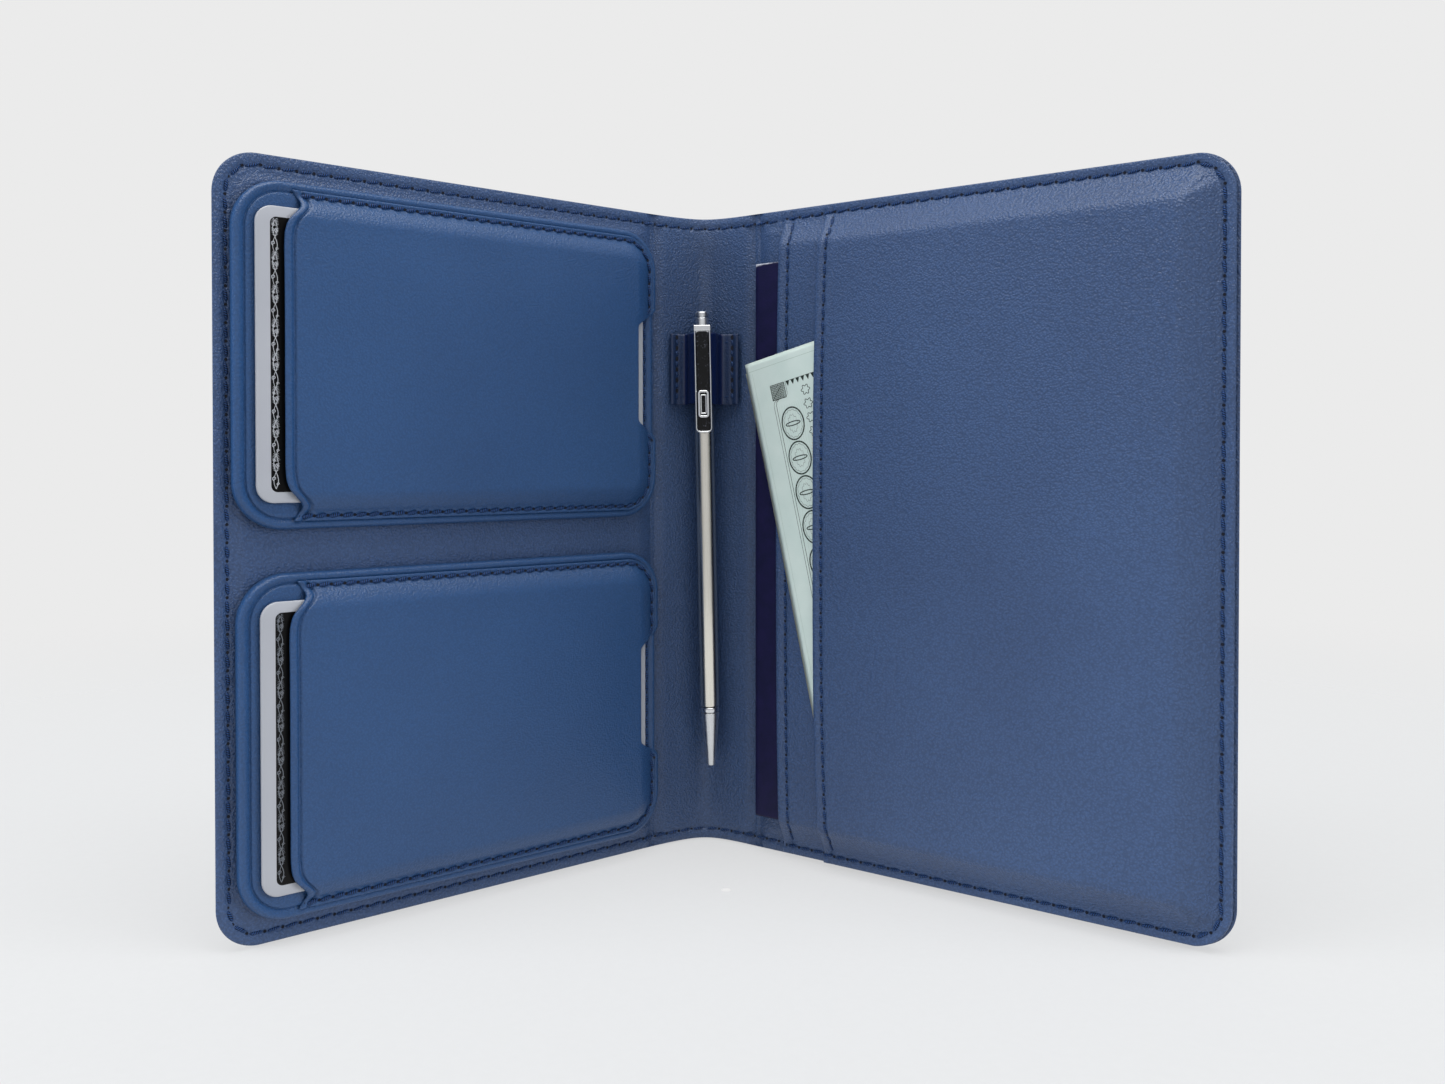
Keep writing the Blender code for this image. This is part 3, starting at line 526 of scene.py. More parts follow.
def folio_skin(name, side, width, inner):
    """Lining (inner) or outer leather of one half, as a closed sheet with rolled edges."""
    s, z, depth = folio_grid(side, width, 0.0 if inner else 0.5)
    phase = np.where(np.minimum(z, HEIGHT - z) < np.abs(HALF_ARC + width - np.abs(s)), s, z)
    on_board = smooth_step((depth - 3.4) / 1.8) * smooth_step((np.abs(s) - HALF_ARC - 2.0) / 3.0)
    hide = 0.05 * np.sin(s * 0.21 + 1.0) * np.sin(z * 0.17) * smooth_step((depth - 5) / 6)
    if inner:
        top = -0.42 * (1 - on_board) + seam_groove(depth, phase) + crease(s, 0.85 if side < 0 else 1.10, 1.7) + hide
        top = top - 0.55 * hump(s, 0, 2.4) * smooth_step((depth - 4) / 8)
        low = top - 0.6
        edge = round_over(depth, 0.45)
        front, back = -0.66 + (top + 0.66) * edge, -0.66 + (low + 0.66) * edge
    else:
        skin = -2.6 + 0.2 * (1 - on_board) - 0.7 * seam_groove(depth, phase) - crease(s, 0.50) + 0.5 * hide
        edge = round_over(depth, 1.3)
        back = -0.70 + (skin + 0.70) * edge
        front = -0.70 + (skin + 0.75 + 0.70) * round_over(depth, 0.6)
    seen, hidden = (front, back) if inner else (back, front)
    piece = closed_sheet(name, on_folio(s, seen, z), on_folio(s, hidden, z), LINING_SKIN if inner else OUTER_SKIN)
    keep_sharp(piece, np.abs(s).ravel() < 1e-6)
    return piece


def across_fold(side):
    """Bodies, start and end of the soft stretch at one fold, in metres."""
    start, end = (tuple(on_folio(side * (HALF_ARC + d * SOFT_HALF), -0.5, 0.0)) for d in (1, -1))
    return ("left_cover" if side < 0 else "right_cover"), "spine", start, end


for side, word, width in ((-1, "left", LEFT_WIDTH), (1, "right", RIGHT_WIDTH)):
    lining = folio_skin("lining_" + word, side, width, True)
    outer = folio_skin("outer_" + word, side, width, False)
    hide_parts(word + "_cover_lining", "spine_lining")
    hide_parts(word + "_cover_outer", "spine_outer")
    for piece in (lining, outer):
        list(across_fold(side))
        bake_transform(piece)
    print(word, "skins:", len(lining.data.polygons) + len(outer.data.polygons), "faces")


# %% [markdown]
# ## Edge seam
# One line of stitches runs 2.3 mm in from the edge, over the pocket panels on the right cover. On the
# outside of the covers the same seam shows again.

# %% Edge seam
def seam_path(side, width, level):
    """Path from the middle of the spine along the bottom, round the outer edge and back along the top."""
    reach = HALF_ARC + width
    r = CORNER - EDGE_SEAM
    along = np.arange(0.0, reach - CORNER, 0.5)
    bottom = np.column_stack((along, np.full(len(along), EDGE_SEAM)))
    turn = np.radians(np.linspace(-90, 0, 24))
    low = np.column_stack((reach - CORNER + r * np.cos(turn), CORNER + r * np.sin(turn)))
    rise = np.column_stack((np.full(100, reach - EDGE_SEAM), np.linspace(CORNER, HEIGHT - CORNER, 102)[1:-1]))
    high = low[::-1] * [1, -1] + [0, HEIGHT]
    flat = np.vstack((bottom, low, rise, high, bottom[::-1] * [1, -1] + [0, HEIGHT]))
    return on_folio(side * flat[:, 0], level(flat[:, 0] - HALF_ARC), flat[:, 1])


def left_level(u):
    """Seam height on the plain lining."""
    return np.full(len(u), -0.50)


def right_level(u):
    """Seam height on the right cover: it climbs on to each pocket panel in turn."""
    return -0.50 + 1.12 * smooth_step((u - 8.1) / 0.8) + 0.78 * smooth_step((u - 19.3) / 0.8)


NORMALS = {-1: np.array([math.sin(LEFT_ANGLE), -math.cos(LEFT_ANGLE), 0.0]),
           1: np.array([-math.sin(RIGHT_ANGLE), -math.cos(RIGHT_ANGLE), 0.0])}
for side, word, width, level in ((-1, "left", LEFT_WIDTH, left_level), (1, "right", RIGHT_WIDTH, right_level)):
    path = seam_path(side, width, level)
    seam = stitches("edge_seam_" + word, path, NORMALS[side], across_fold(side), word + "_cover_thread", pitch=PITCH)
    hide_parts("spine_thread_bottom", "spine_thread_top")
    back_path = seam_path(side, width, lambda u: np.full(len(u), -2.28))
    stitches("back_seam_" + word, back_path, -NORMALS[side], across_fold(side), pitch=PITCH)

# %% [markdown]
# ## Card holders
# Each holder is a padded backing plate with a panel sewn on top along three sides. The plate has a rolled
# rim, then a pressed line 2 mm in, where its inner layer ends. The panel lies flat under its stitches,
# then swells over the card in a soft shoulder, and its mouth is turned under, which leaves a second line.

# %% Holder plates
HOLDER_WIDTH = 93.4
HOLDER_HALF = 32.0
HOLDER_CORNER = 9.0
MOUTH = 85.5
NOTCH_HALF = 13.9
NOTCH_DEPTH = 6.6
HOLDERS = (("upper", 1.4, 108.5), ("lower", 0.8, 36.5))


def rounded_outline(low, high, bottom, top, radius, inset=0.0, steps=14, side=0.7):
    """Closed rounded rectangle, anticlockwise from the low end of the bottom, points about side apart."""
    r = max(radius - inset, 0.05)
    x0, x1, y0, y1 = low + inset, high - inset, bottom + inset, top - inset
    turn = np.radians(np.linspace(0, 90, steps))
    across = max(int((high - low - 2 * radius) / side), 2)
    upward = max(int((top - bottom - 2 * radius) / side), 2)
    corners = []
    for k, (cx, cy) in enumerate(((x1 - r, y0 + r), (x1 - r, y1 - r), (x0 + r, y1 - r), (x0 + r, y0 + r))):
        a = turn + math.radians(90 * (k - 1))
        corners.append(np.column_stack((cx + r * np.cos(a), cy + r * np.sin(a))))
    points = []
    for k, count in enumerate((upward, across, upward, across)):
        a, b = corners[k][-1], corners[(k + 1) % 4][0]
        points += [corners[k], a + (b - a) * np.linspace(0, 1, count + 2)[1:-1, None]]
    return np.vstack(points)


def stacked(side, box, radius, rows, base=0.0, step=0.7):
    """Rings of one rounded rectangle on a cover; each row says how far its ring is inset and how high it lies."""
    rings = []
    for inset, w in rows:
        flat = rounded_outline(*box, radius, inset, side=step)
        rings.append(on_cover(side, flat[:, 0], base + w, flat[:, 1]))
    return rings


def holder_plate(word, start, middle):
    """Plate: rings of a rounded outline, each inset by d and raised to w(d); a dip on the spine side."""
    profile = [(0.35, 0.30), (0.0, 0.55), (0.0, 1.3), (0.06, 1.75), (0.22, 2.15), (0.48, 2.40), (0.78, 2.5),
               (1.1, 2.44), (1.4, 2.30), (1.7, 2.16), (1.88, 2.00), (1.96, 1.92), (2.06, 1.93), (2.14, 2.14),
               (2.24, 2.32), (2.4, 2.40), (2.8, 2.42), (3.6, 2.42), (6.5, 2.42), (14.0, 2.42), (30.5, 2.42)]
    rings = []
    for inset, w in profile:
        flat = rounded_outline(start, start + HOLDER_WIDTH + 0.5, middle - HOLDER_HALF, middle + HOLDER_HALF,
                               HOLDER_CORNER, inset)
        near = np.clip(1 - (flat[:, 0] - start - inset) / 3.0, 0, 1)
        dip = 1.0 * smooth_step((NOTCH_HALF + 0.4 - np.abs(flat[:, 1] - middle)) / 0.8) * near
        rings.append(on_cover(-1, flat[:, 0] + dip, w, flat[:, 1]))
    plate = capped_rings(word + "_plate", rings, HOLDER_SKIN)
    belongs(plate, "left_cover", "skin", word + "_holder_base")


for word, start, middle_z in HOLDERS:
    holder_plate(word, start, middle_z)

# %% Holder panels
PANEL_IN = 1.5
MOUTH_KNOTS = (0.0, 20.0, 22.5, 24.4, 25.8, 27.0, 28.1, 29.2, 30.5)
MOUTH_STEPS = (0.0, 0.0, -0.15, -0.7, -1.9, -3.2, -3.7, -2.9, -2.0)


def soft_knots(x, knots, values):
    """Values between knots, smoothed over neighbouring heights by a short running mean."""
    spread = np.linspace(-0.8, 0.8, 9)
    return np.mean([np.interp(np.abs(x + d), knots, values) for d in spread], axis=0)


def panel_height(depth):
    """Flat under the stitches, a shoulder that eases off over 3.9 mm, and a slight crown over the card."""
    t = np.clip((depth - 1.45) / 3.9, 0.0, 1.0)
    shoulder = 1 - (1 - t) ** 1.6
    foot = smooth_step((depth - 1.35) / 0.8)
    return 2.95 + 1.85 * shoulder * foot + 0.25 * smooth_step((depth - 4) / 14)


def holder_panel(word, start, middle):
    """Panel: rows run from the notched inner edge to the shaped mouth; height follows the depth from its seam."""
    half = HOLDER_HALF - PANEL_IN
    dz = spaced(2 * half, 0.25, 0.55, 6.0) - half
    inner = PANEL_IN + draw_in(dz, -half, half, HOLDER_CORNER - PANEL_IN)
    notch = 1 - smooth_step((np.abs(dz) - 10.3) / (NOTCH_HALF - 10.3))
    inner = inner + notch * (NOTCH_DEPTH - PANEL_IN)
    mouth = MOUTH + soft_knots(dz, MOUTH_KNOTS, MOUTH_STEPS)
    near = from_border(0.3, 6.0)
    far = np.concatenate((np.arange(20) * 0.15, (3.1, 3.5, 4.0)))[::-1]
    between = np.linspace(0, 1, 96)[1:-1]
    a = inner[:, None] + near
    b = mouth[:, None] - far
    mid = a[:, -1:] + (b[:, :1] - a[:, -1:]) * between
    u = np.hstack((a, mid, b))
    z = np.repeat(dz[:, None], u.shape[1], axis=1)
    side_depth = half - np.abs(z)
    depth = depth_inside(np.maximum(u - PANEL_IN, 0.0), side_depth, HOLDER_CORNER - PANEL_IN)
    seam = 0.95
    phase = np.where(side_depth < u - PANEL_IN, u, z)
    pinch = 0.78 + 0.22 * np.cos(TURN * phase / 2.6)
    height = panel_height(depth) - 0.34 * pinch * hump(depth, seam, 0.42)
    to_mouth = mouth[:, None] - u
    to_inner = u - inner[:, None]
    height = height - 0.50 * hump(to_mouth, 1.7, 0.30) + 0.14 * hump(to_mouth, 0.8, 0.7)
    height = height + 0.04 * np.sin(0.16 * u + 0.6) * np.sin(0.21 * z) * smooth_step((depth - 5) / 5)
    edge = np.minimum(np.minimum(side_depth, to_mouth), to_inner)
    rounding = round_over(edge, 0.42)
    thick = 0.62
    centre = height - 0.34
    front = centre + (height - centre) * rounding
    back = centre + (height - thick - centre) * rounding
    faces = [on_cover(-1, start + u, w, middle + z) for w in (front, back)]
    panel = closed_sheet(word + "_panel", *faces, HOLDER_SKIN)
    belongs(panel, "left_cover", "skin", word + "_holder_pocket")


def holder_seam(word, start, middle):
    """Stitches 2.45 mm in from the plate's edge, from mouth to mouth round the spine side."""
    inset = 2.45
    r = HOLDER_CORNER - inset
    end = start + MOUTH - 3.4
    low, high, left = middle - HOLDER_HALF + inset, middle + HOLDER_HALF - inset, start + inset
    turn = np.radians(np.linspace(90, 180, 20))
    top = np.column_stack((np.linspace(end, left + r, 160), np.full(160, high)))
    round_top = np.column_stack((left + r + r * np.cos(turn), high - r + r * np.sin(turn)))
    down = np.column_stack((np.full(100, left), np.linspace(high - r, low + r, 102)[1:-1]))
    mirrored = [line[::-1] * [1, -1] + [0, low + high] for line in (round_top, top)]
    flat = np.vstack((top, round_top, down, *mirrored))
    notch = smooth_step((NOTCH_HALF + 0.5 - np.abs(flat[:, 1] - middle)) / 1.6) * (flat[:, 0] < left + 0.5)
    w = 2.86 - 0.46 * notch
    path = on_cover(-1, flat[:, 0] + 1.2 * notch, w, flat[:, 1])
    stitches(word + "_seam", path, NORMALS[-1], "left_cover", word + "_holder_thread", pitch=2.6, length=0.9,
             thick=0.38, slant=12.0)


for word, start, middle_z in HOLDERS:
    holder_panel(word, start, middle_z)
    holder_seam(word, start, middle_z)

# %% [markdown]
# ## Cards
# An ordinary card is a PVC core 0.8 mm thick with a printed face under clear laminate, so it has a soft
# gloss and a rounded rim. Here the face is black inside a silver-grey border, with a silver scroll band
# along the short end, painted darker on the lower card as painted shade. The print is made of ribbons a
# hundredth of a millimetre proud, so it stays crisp.

# %% Card stock and inks
def plain_coat(name, colours, roughness, coat=0.0, scale=60.0, bump=0.0, bump_scale=3000.0, gloss=0.5):
    """Thin even finish: slow noise between two close tones, and an optional fine tooth."""
    material, tree, shader = new_material(name)
    place = node(tree, "ShaderNodeTexCoord").outputs["Object"]
    slow = node(tree, "ShaderNodeTexNoise", Vector=place, Scale=scale, Detail=3.0)
    tone = node(tree, "ShaderNodeValToRGB", {"stops": ((0.3, colours[0]), (0.7, colours[1]))},
                Fac=slow.outputs["Fac"])
    fill(tree, shader, {"Base Color": tone.outputs["Color"], "Roughness": roughness, "Specular IOR Level": gloss,
                        "Coat Weight": coat, "Coat Roughness": 0.15})
    if bump:
        tooth = node(tree, "ShaderNodeTexNoise", Vector=place, Scale=bump_scale, Detail=2.0)
        relief = node(tree, "ShaderNodeBump", Height=tooth.outputs["Fac"], Strength=0.5, Distance=bump * MM)
        fill(tree, shader, {"Normal": relief.outputs["Normal"]})
    return material


CARD_STOCK = plain_coat("silver_grey_pvc_card", ("#9da0a8", "#a3a6ad"), 0.38, coat=0.2)
CARD_BLACK = plain_coat("black_card_ink", ("#050506", "#080708"), 0.34, gloss=0.18)
# the lower card's scroll ink is the same silver, painted darker as shade
CARD_INKS = {"upper": plain_coat("silver_card_ink", ("#a9adb4", "#b6bac1"), 0.4, gloss=0.3),
             "lower": plain_coat("silver_card_ink_painted_shade", ("#666b73", "#72777f"), 0.4, gloss=0.3)}


def ribbon(points, width):
    """Flat ribbon along a plan curve: its two edges stand half a width to each side; width may vary."""
    points = np.asarray(points, float)
    direction = unit(np.gradient(points, axis=0))
    normal = np.column_stack((-direction[:, 1], direction[:, 0]))
    half = np.broadcast_to(np.asarray(width, float) / 2, len(points))[:, None]
    return np.stack((points - normal * half, points + normal * half), axis=1)


def print_ribbons(name, ribbons, place, material, body, slot, outward):
    """One mesh from many ribbons; place turns plan points into metres. Each ribbon is a strip of quads."""
    verts, faces, base = [], [], 0
    for strip in ribbons:
        count = len(strip)
        verts.append(place(strip.reshape(-1, 2)))
        faces.append(grid_quads(count, 2) + base)
        base += 2 * count
    piece = link_mesh(name, np.vstack(verts), np.vstack(faces), material, smooth=False)
    wrong = per_face(piece.data, "normal") @ np.asarray(outward) < 0
    if wrong.any():
        corrected = [tuple(p.vertices)[::-1] if bad else tuple(p.vertices)
                     for p, bad in zip(piece.data.polygons, wrong)]
        fresh = bpy.data.meshes.new(name)
        fresh.from_pydata([tuple(v.co) for v in piece.data.vertices], [], corrected)
        fresh.materials.append(material)
        piece.data = fresh
    return belongs(piece, body, slot)


def scroll(centre, start, turns, radius, flip):
    """Spiral that winds in from its start radius: r falls to a fifth while the angle turns."""
    t = np.linspace(0, 1, 18)
    r = radius * (1 - 0.82 * t)
    a = start + flip * turns * TURN * t
    return np.column_stack((centre[0] + r * np.cos(a), centre[1] + r * np.sin(a)))


def scroll_band(length):
    """Border of mirrored scrolls, a wavy spine and short hatched leaves, 1.6 mm wide, along y."""
    strips = []
    count = 8
    period = length / count
    y = np.linspace(0, length, count * 24)
    for hand, width in ((1, 0.12), (-1, 0.09)):
        strips.append(ribbon(np.column_stack((hand * 0.42 * np.sin(TURN * y / period), y)), width))
    for k in range(count):
        base = (k + 0.5) * period
        for flip in (-1, 1):
            strips += [
                ribbon(scroll((0.30 * flip, base + 1.15 * flip), 0.25 * TURN * flip, 1.3, 0.42, flip), 0.11),
                ribbon(scroll((-0.34 * flip, base + 2.2 * flip), 0, 1.1, 0.30, -flip), 0.10)]
            for j in range(5):
                root = base + flip * (0.35 + 0.28 * j) + 1.6
                tip = 0.72 - 0.05 * j
                for hand in (1, -1):
                    leaf = ((0.12 * hand, root), (0.5 * tip * hand, root + 0.22), (tip * hand, root + 0.34))
                    strips.append(ribbon(leaf, (0.10, 0.09, 0.03)))
    return strips


CARD_BACK, CARD_IN, CARD_LONG, CARD_HALF, CARD_CORNER = 2.8, 4.7, 85.6, 27.0, 3.2
FACE_IN, FACE_OUT, FACE_HALF = 8.0, 2.6, 25.0
BAND_IN, BAND_HALF = 3.48, 24.4
CARD_ROWS = ((0.25, 0.0), (0.06, 0.07), (0.0, 0.22), (0.0, 0.58), (0.06, 0.73), (0.25, 0.8), (2.5, 0.8), (20.0, 0.8))
for word, start, middle_z in HOLDERS:
    low, high = start + CARD_IN, start + CARD_IN + CARD_LONG
    rings = stacked(-1, (low, high, middle_z - CARD_HALF, middle_z + CARD_HALF), CARD_CORNER, CARD_ROWS, CARD_BACK,
                    2.0)
    body = word + "_card"
    belongs(capped_rings(word + "_card_stock", rings, CARD_STOCK), body, "card", body)
    rings = stacked(-1, (low + FACE_IN, high - FACE_OUT, middle_z - FACE_HALF, middle_z + FACE_HALF), 1.2,
                    ((0.0, 0.78), (0.0, 0.806)), CARD_BACK, 3.0)
    belongs(capped_rings(word + "_card_face", rings, CARD_BLACK, smooth=False), body, "card")

    def on_card(points, band=high - BAND_IN, foot=middle_z - BAND_HALF):
        """Plan points of the band to metres, on the face and 3.48 mm in from the card's outer end."""
        return on_cover(-1, band - points[:, 0], CARD_BACK + 0.814, foot + points[:, 1])

    print_ribbons(word + "_card_scrolls", scroll_band(2 * BAND_HALF), on_card, CARD_INKS[word], body, "card",
                  NORMALS[-1])

# %% [markdown]
# ## Pocket panels on the right cover
# Two panels share the cover's edge seam. The first holds the passport, the second lies over it as a
# document pocket. Sewn flat at the border, they climb over the booklet in a bevel about 6 mm wide, and
# their free edges are turned under and stitched a little over 2 mm in, which leaves a rounded lip.

# %% Pocket panels
def free_edge(start, flare, turn_in):
    """Line of a pocket's free edge, its distance from the fold growing as the cube of the way to both ends."""
    def edge_at(z):
        """Distance of the edge from the fold at height z."""
        ends = 1 - smooth_step(np.minimum(z, HEIGHT - z) / 9.0)
        return start + flare * np.abs(2 * z / HEIGHT - 1) ** 3 - turn_in * ends
    return edge_at


passport_edge = free_edge(8.4, 1.0, 1.0)
note_edge = free_edge(19.4, 1.8, 1.7)


def bevel(inside, foot, top):
    """Straight ramp with a tight soft foot and shoulder, from nought at foot to one at top."""
    t = (inside - foot) / (top - foot)
    spread = (-0.10, -0.05, 0.0, 0.05, 0.10)
    return np.mean([np.clip(t + d, 0, 1) for d in spread], axis=0)


def soft_corner(depth, from_end, from_side):
    """Depth with its mitre softened: two depths within 2.4 mm of each other are eased below the lesser."""
    gap = np.clip(1 - np.abs(from_end - from_side) / 2.4, 0, 1)
    return depth - 0.55 * gap * gap * smooth_step((depth - 2.5) / 2)


def pocket_panel(name, edge_at, low, high, thick, foot, top, hem, swell, node_name):
    """Panel from its free edge to the cover's rim; height = low + bevel * (high - low) + slow swell."""
    inset = 0.45
    z = spaced(HEIGHT - 2 * inset, 0.3, 0.8, 8.0) + inset
    far = RIGHT_WIDTH - inset - draw_in(z, inset, HEIGHT - inset, CORNER - inset)
    start = edge_at(z)
    near = from_border(0.25, 4.6)
    outer = from_border(0.3, 12.0)[::-1]
    a = start[:, None] + near
    b = far[:, None] - outer
    u = np.hstack((a, a[:, -1:] + (b[:, :1] - a[:, -1:]) * np.linspace(0, 1, 92)[1:-1], b))
    z = np.repeat(z[:, None], u.shape[1], axis=1)
    end_depth = np.maximum(RIGHT_WIDTH - inset - u, 0.0)
    side_depth = np.minimum(z - inset, HEIGHT - inset - z)
    depth = depth_inside(end_depth, side_depth, CORNER - inset)
    rise = bevel(soft_corner(depth, end_depth, side_depth), foot, top)
    height = low + rise * (high - low)
    pocket_depth = np.clip(u - edge_at(z), 0, None)
    height = height + swell * smooth_step(depth / 30) * smooth_step((u - edge_at(z)) / 40)
    under = height
    phase = np.where(side_depth < end_depth, u, z)
    pinch = 0.8 + 0.2 * np.cos(TURN * phase / PITCH)
    height = height - 0.36 * pinch * hump(depth, EDGE_SEAM - inset, 0.45)
    pinch = 0.7 + 0.3 * np.cos(TURN * z / 3.0)
    height = height - 0.30 * pinch * hump(pocket_depth, hem, 0.45)
    height = height + 0.16 * hump(pocket_depth, 0.8, 0.6)
    height = height + 0.05 * np.sin(0.11 * u + 0.5) * np.sin(0.09 * z + 0.4) * rise
    border = np.minimum(np.minimum(side_depth, far[:, None] - u), pocket_depth)
    rounding = round_over(border, 0.40)
    centre = under - thick / 2
    front = centre + (height - centre) * rounding
    back = centre - thick / 2 * rounding
    piece = closed_sheet(name, on_cover(1, u, front, z), on_cover(1, u, back, z), LINING_SKIN)
    belongs(piece, "right_cover", "lining", node_name)

    def level(u, z):
        """Height of the panel's face at one place, for its stitches."""
        end = np.maximum(RIGHT_WIDTH - inset - u, 0.0)
        inside = depth_inside(end, np.minimum(z - inset, HEIGHT - inset - z), CORNER - inset)
        return low + bevel(inside, foot, top) * (high - low)

    return level


def hem_stitches(name, edge_at, inset, level, node_name):
    """Stitches down the hem, between the top and bottom edge seams."""
    z = np.linspace(3.4, HEIGHT - 3.4, 240)
    u = edge_at(z) + inset
    path = on_cover(1, u, level(u, z) - 0.10, z)
    return stitches(name, path, NORMALS[1], "right_cover", node_name, pitch=3.0, thick=0.34)


first_level = pocket_panel("passport_panel", passport_edge, 0.72, 3.80, 0.55, 2.9, 8.0, 2.5, 0.0, "passport_pocket")
second_level = pocket_panel("document_panel", note_edge, 1.50, 6.15, 0.62, 2.7, 8.6, 2.15, 0.45, "note_pocket")
hem_stitches("passport_hem", passport_edge, 2.5, first_level, "passport_pocket_thread")
hem_stitches("document_hem", note_edge, 2.15, second_level, "note_pocket_thread")

# %% [markdown]
# ## Passport booklet
# A booklet is one cover folded round its pages. The cover is a sheet laid along a U: along the front,
# round a spine of 1.3 mm radius, and back. Its cloth is plum-navy, rubbed white at the top corner of the
# spine, where it leaves the pocket first; an attribute of its points says how worn each place is.

# %% Passport
PASSPORT_START, PASSPORT_LOW, PASSPORT_TALL, PASSPORT_WIDE = 1.8, 8.4, 125.0, 88.0
BOOK_RADIUS, BOOK_LIFT, CLOTH_THICK = 1.3, 1.6, 0.42


def book_cloth():
    """Woven cloth, rubbed pale where the wear of the surface times its slow noise is high."""
    material, tree, shader = new_material("plum_navy_book_cloth")
    place = node(tree, "ShaderNodeTexCoord").outputs["Object"]
    weave = node(tree, "ShaderNodeTexVoronoi", Vector=place, Scale=2200.0)
    slow = node(tree, "ShaderNodeTexNoise", Vector=place, Scale=420.0, Detail=5.0).outputs["Fac"]
    wear = node(tree, "ShaderNodeAttribute", {"attribute_name": "wear"})
    rubbed = node(tree, "ShaderNodeMath", {"operation": "MULTIPLY"}, {0: slow, 1: wear.outputs["Fac"]})
    tone = node(tree, "ShaderNodeValToRGB", {"stops": ((0.3, "#0c0e30"), (0.7, "#14123a"))}, Fac=slow)
    mask = node(tree, "ShaderNodeValToRGB", {"stops": ((0.22, 0.0), (0.46, 1.0))}, Fac=rubbed.outputs["Value"])
    colour = node(tree, "ShaderNodeMix", {"data_type": "RGBA"},
                  {0: mask.outputs["Color"], 6: tone.outputs["Color"], 7: linear("#b9bcc6")})
    bump = node(tree, "ShaderNodeBump", Height=weave.outputs["Distance"], Strength=0.7, Distance=0.03 * MM)
    fill(tree, shader, {"Base Color": colour.outputs[2], "Normal": bump.outputs["Normal"], "Roughness": 0.50,
                        "Specular IOR Level": 0.22})
    return material


def page_edges():
    """Stacked leaves: fine lines across the booklet's thickness, 0.22 mm apart."""
    material, tree, shader = new_material("stacked_ivory_pages")
    place = node(tree, "ShaderNodeTexCoord").outputs["Object"]
    turned = node(tree, "ShaderNodeMapping", Vector=place, Rotation=(0.0, 0.0, -RIGHT_ANGLE))
    lines = node(tree, "ShaderNodeTexWave", {"bands_direction": "Y"}, Vector=turned.outputs["Vector"],
                 Scale=1000.0 / 6.28 / 0.22, Distortion=0.4, Detail=1.0).outputs["Fac"]
    tone = node(tree, "ShaderNodeValToRGB", {"stops": ((0.1, "#a9a391"), (0.6, "#e2ddcd"))}, Fac=lines)
    bump = node(tree, "ShaderNodeBump", Height=lines, Strength=0.6, Distance=0.04 * MM)
    fill(tree, shader, {"Base Color": tone.outputs["Color"], "Normal": bump.outputs["Normal"], "Roughness": 0.75})
    return material


PASSPORT_CLOTH = book_cloth()
PAGES = page_edges()


def booklet_cover():
    """U-shaped sheet: front from its free edge to the spine, half a turn of 1.3 mm radius, then the back."""
    r = BOOK_RADIUS
    flat = np.concatenate((np.linspace(PASSPORT_WIDE, 12, 40), np.linspace(10, r, 14)))
    turn = np.radians(np.linspace(0, 180, 19))[1:-1]
    u = np.concatenate((flat, r - r * np.sin(turn), flat[::-1]))
    w = np.concatenate((np.full(len(flat), r), r * np.cos(turn), np.full(len(flat), -r)))
    along = unit(np.gradient(np.column_stack((u, w)), axis=0))
    inward = np.column_stack((-along[:, 1], along[:, 0]))
    z = np.concatenate((np.linspace(0, 4, 12), np.linspace(5, PASSPORT_TALL - 5, 60),
                        np.linspace(PASSPORT_TALL - 4, PASSPORT_TALL, 12)))
    pull = draw_in(z, 0, PASSPORT_TALL, 3.0)
    share = smooth_step((u - PASSPORT_WIDE + 12) / 12)
    plan_u = u[None, :] - pull[:, None] * share
    plan_z = np.repeat(z[:, None], len(u), axis=1)
    inner_u, inner_w = plan_u + CLOTH_THICK * inward[:, 0], w + CLOTH_THICK * inward[:, 1]
    dent = 0.10 * np.exp(-(PASSPORT_TALL - plan_z) / 1.6) * np.exp(-np.maximum(plan_u, 0) / 1.5)
    z = PASSPORT_LOW + plan_z - 0.6 * dent
    faces = [on_cover(1, PASSPORT_START + u_of + dent, BOOK_LIFT + w_of, z)
             for u_of, w_of in ((plan_u, w), (inner_u, inner_w))]
    piece = closed_sheet("passport_cloth", *faces, PASSPORT_CLOTH)
    corner = np.exp(-np.hypot((PASSPORT_TALL - plan_z) / 0.6, np.maximum(plan_u, 0) / 2.6))
    ridge = 0.45 * np.exp(-np.maximum(plan_u, 0) / 0.35) * np.exp(-(PASSPORT_TALL - plan_z) / 26)
    rim = 0.55 * np.exp(-(PASSPORT_TALL - plan_z) / 0.35)
    wear = np.clip(0.8 * corner + 0.8 * ridge + 1.3 * rim, 0, 1)
    values = np.concatenate((wear.ravel(), wear[1:-1, 1:-1].ravel()))
    piece.data.attributes.new("wear", "FLOAT", "POINT").data.foreach_set("value", values)
    belongs(piece, "passport", "passport", "passport_cover")


booklet_cover()
leaves = (PASSPORT_START + 1.0, PASSPORT_START + 87.0, PASSPORT_LOW + 0.7, PASSPORT_LOW + PASSPORT_TALL - 0.7)
rings = stacked(1, leaves, 2.4, ((0.0, -0.84), (0.0, 0.0), (0.0, 0.84)), BOOK_LIFT, 6.0)
pages = capped_rings("passport_leaves", rings, PAGES, smooth=False)
belongs(pages, "passport", "pages", "passport_pages")

# %% [markdown]
# ## Banknotes
# Two folded notes lean in the pocket mouth. Cotton paper is thin and springy, so each is a slightly
# bowed sheet. The print is a made-up one: a frame, a hatched corner, a row of teeth, rosettes, a copper
# spray and wavy ground lines, all as ribbons that follow the bow of the sheet.

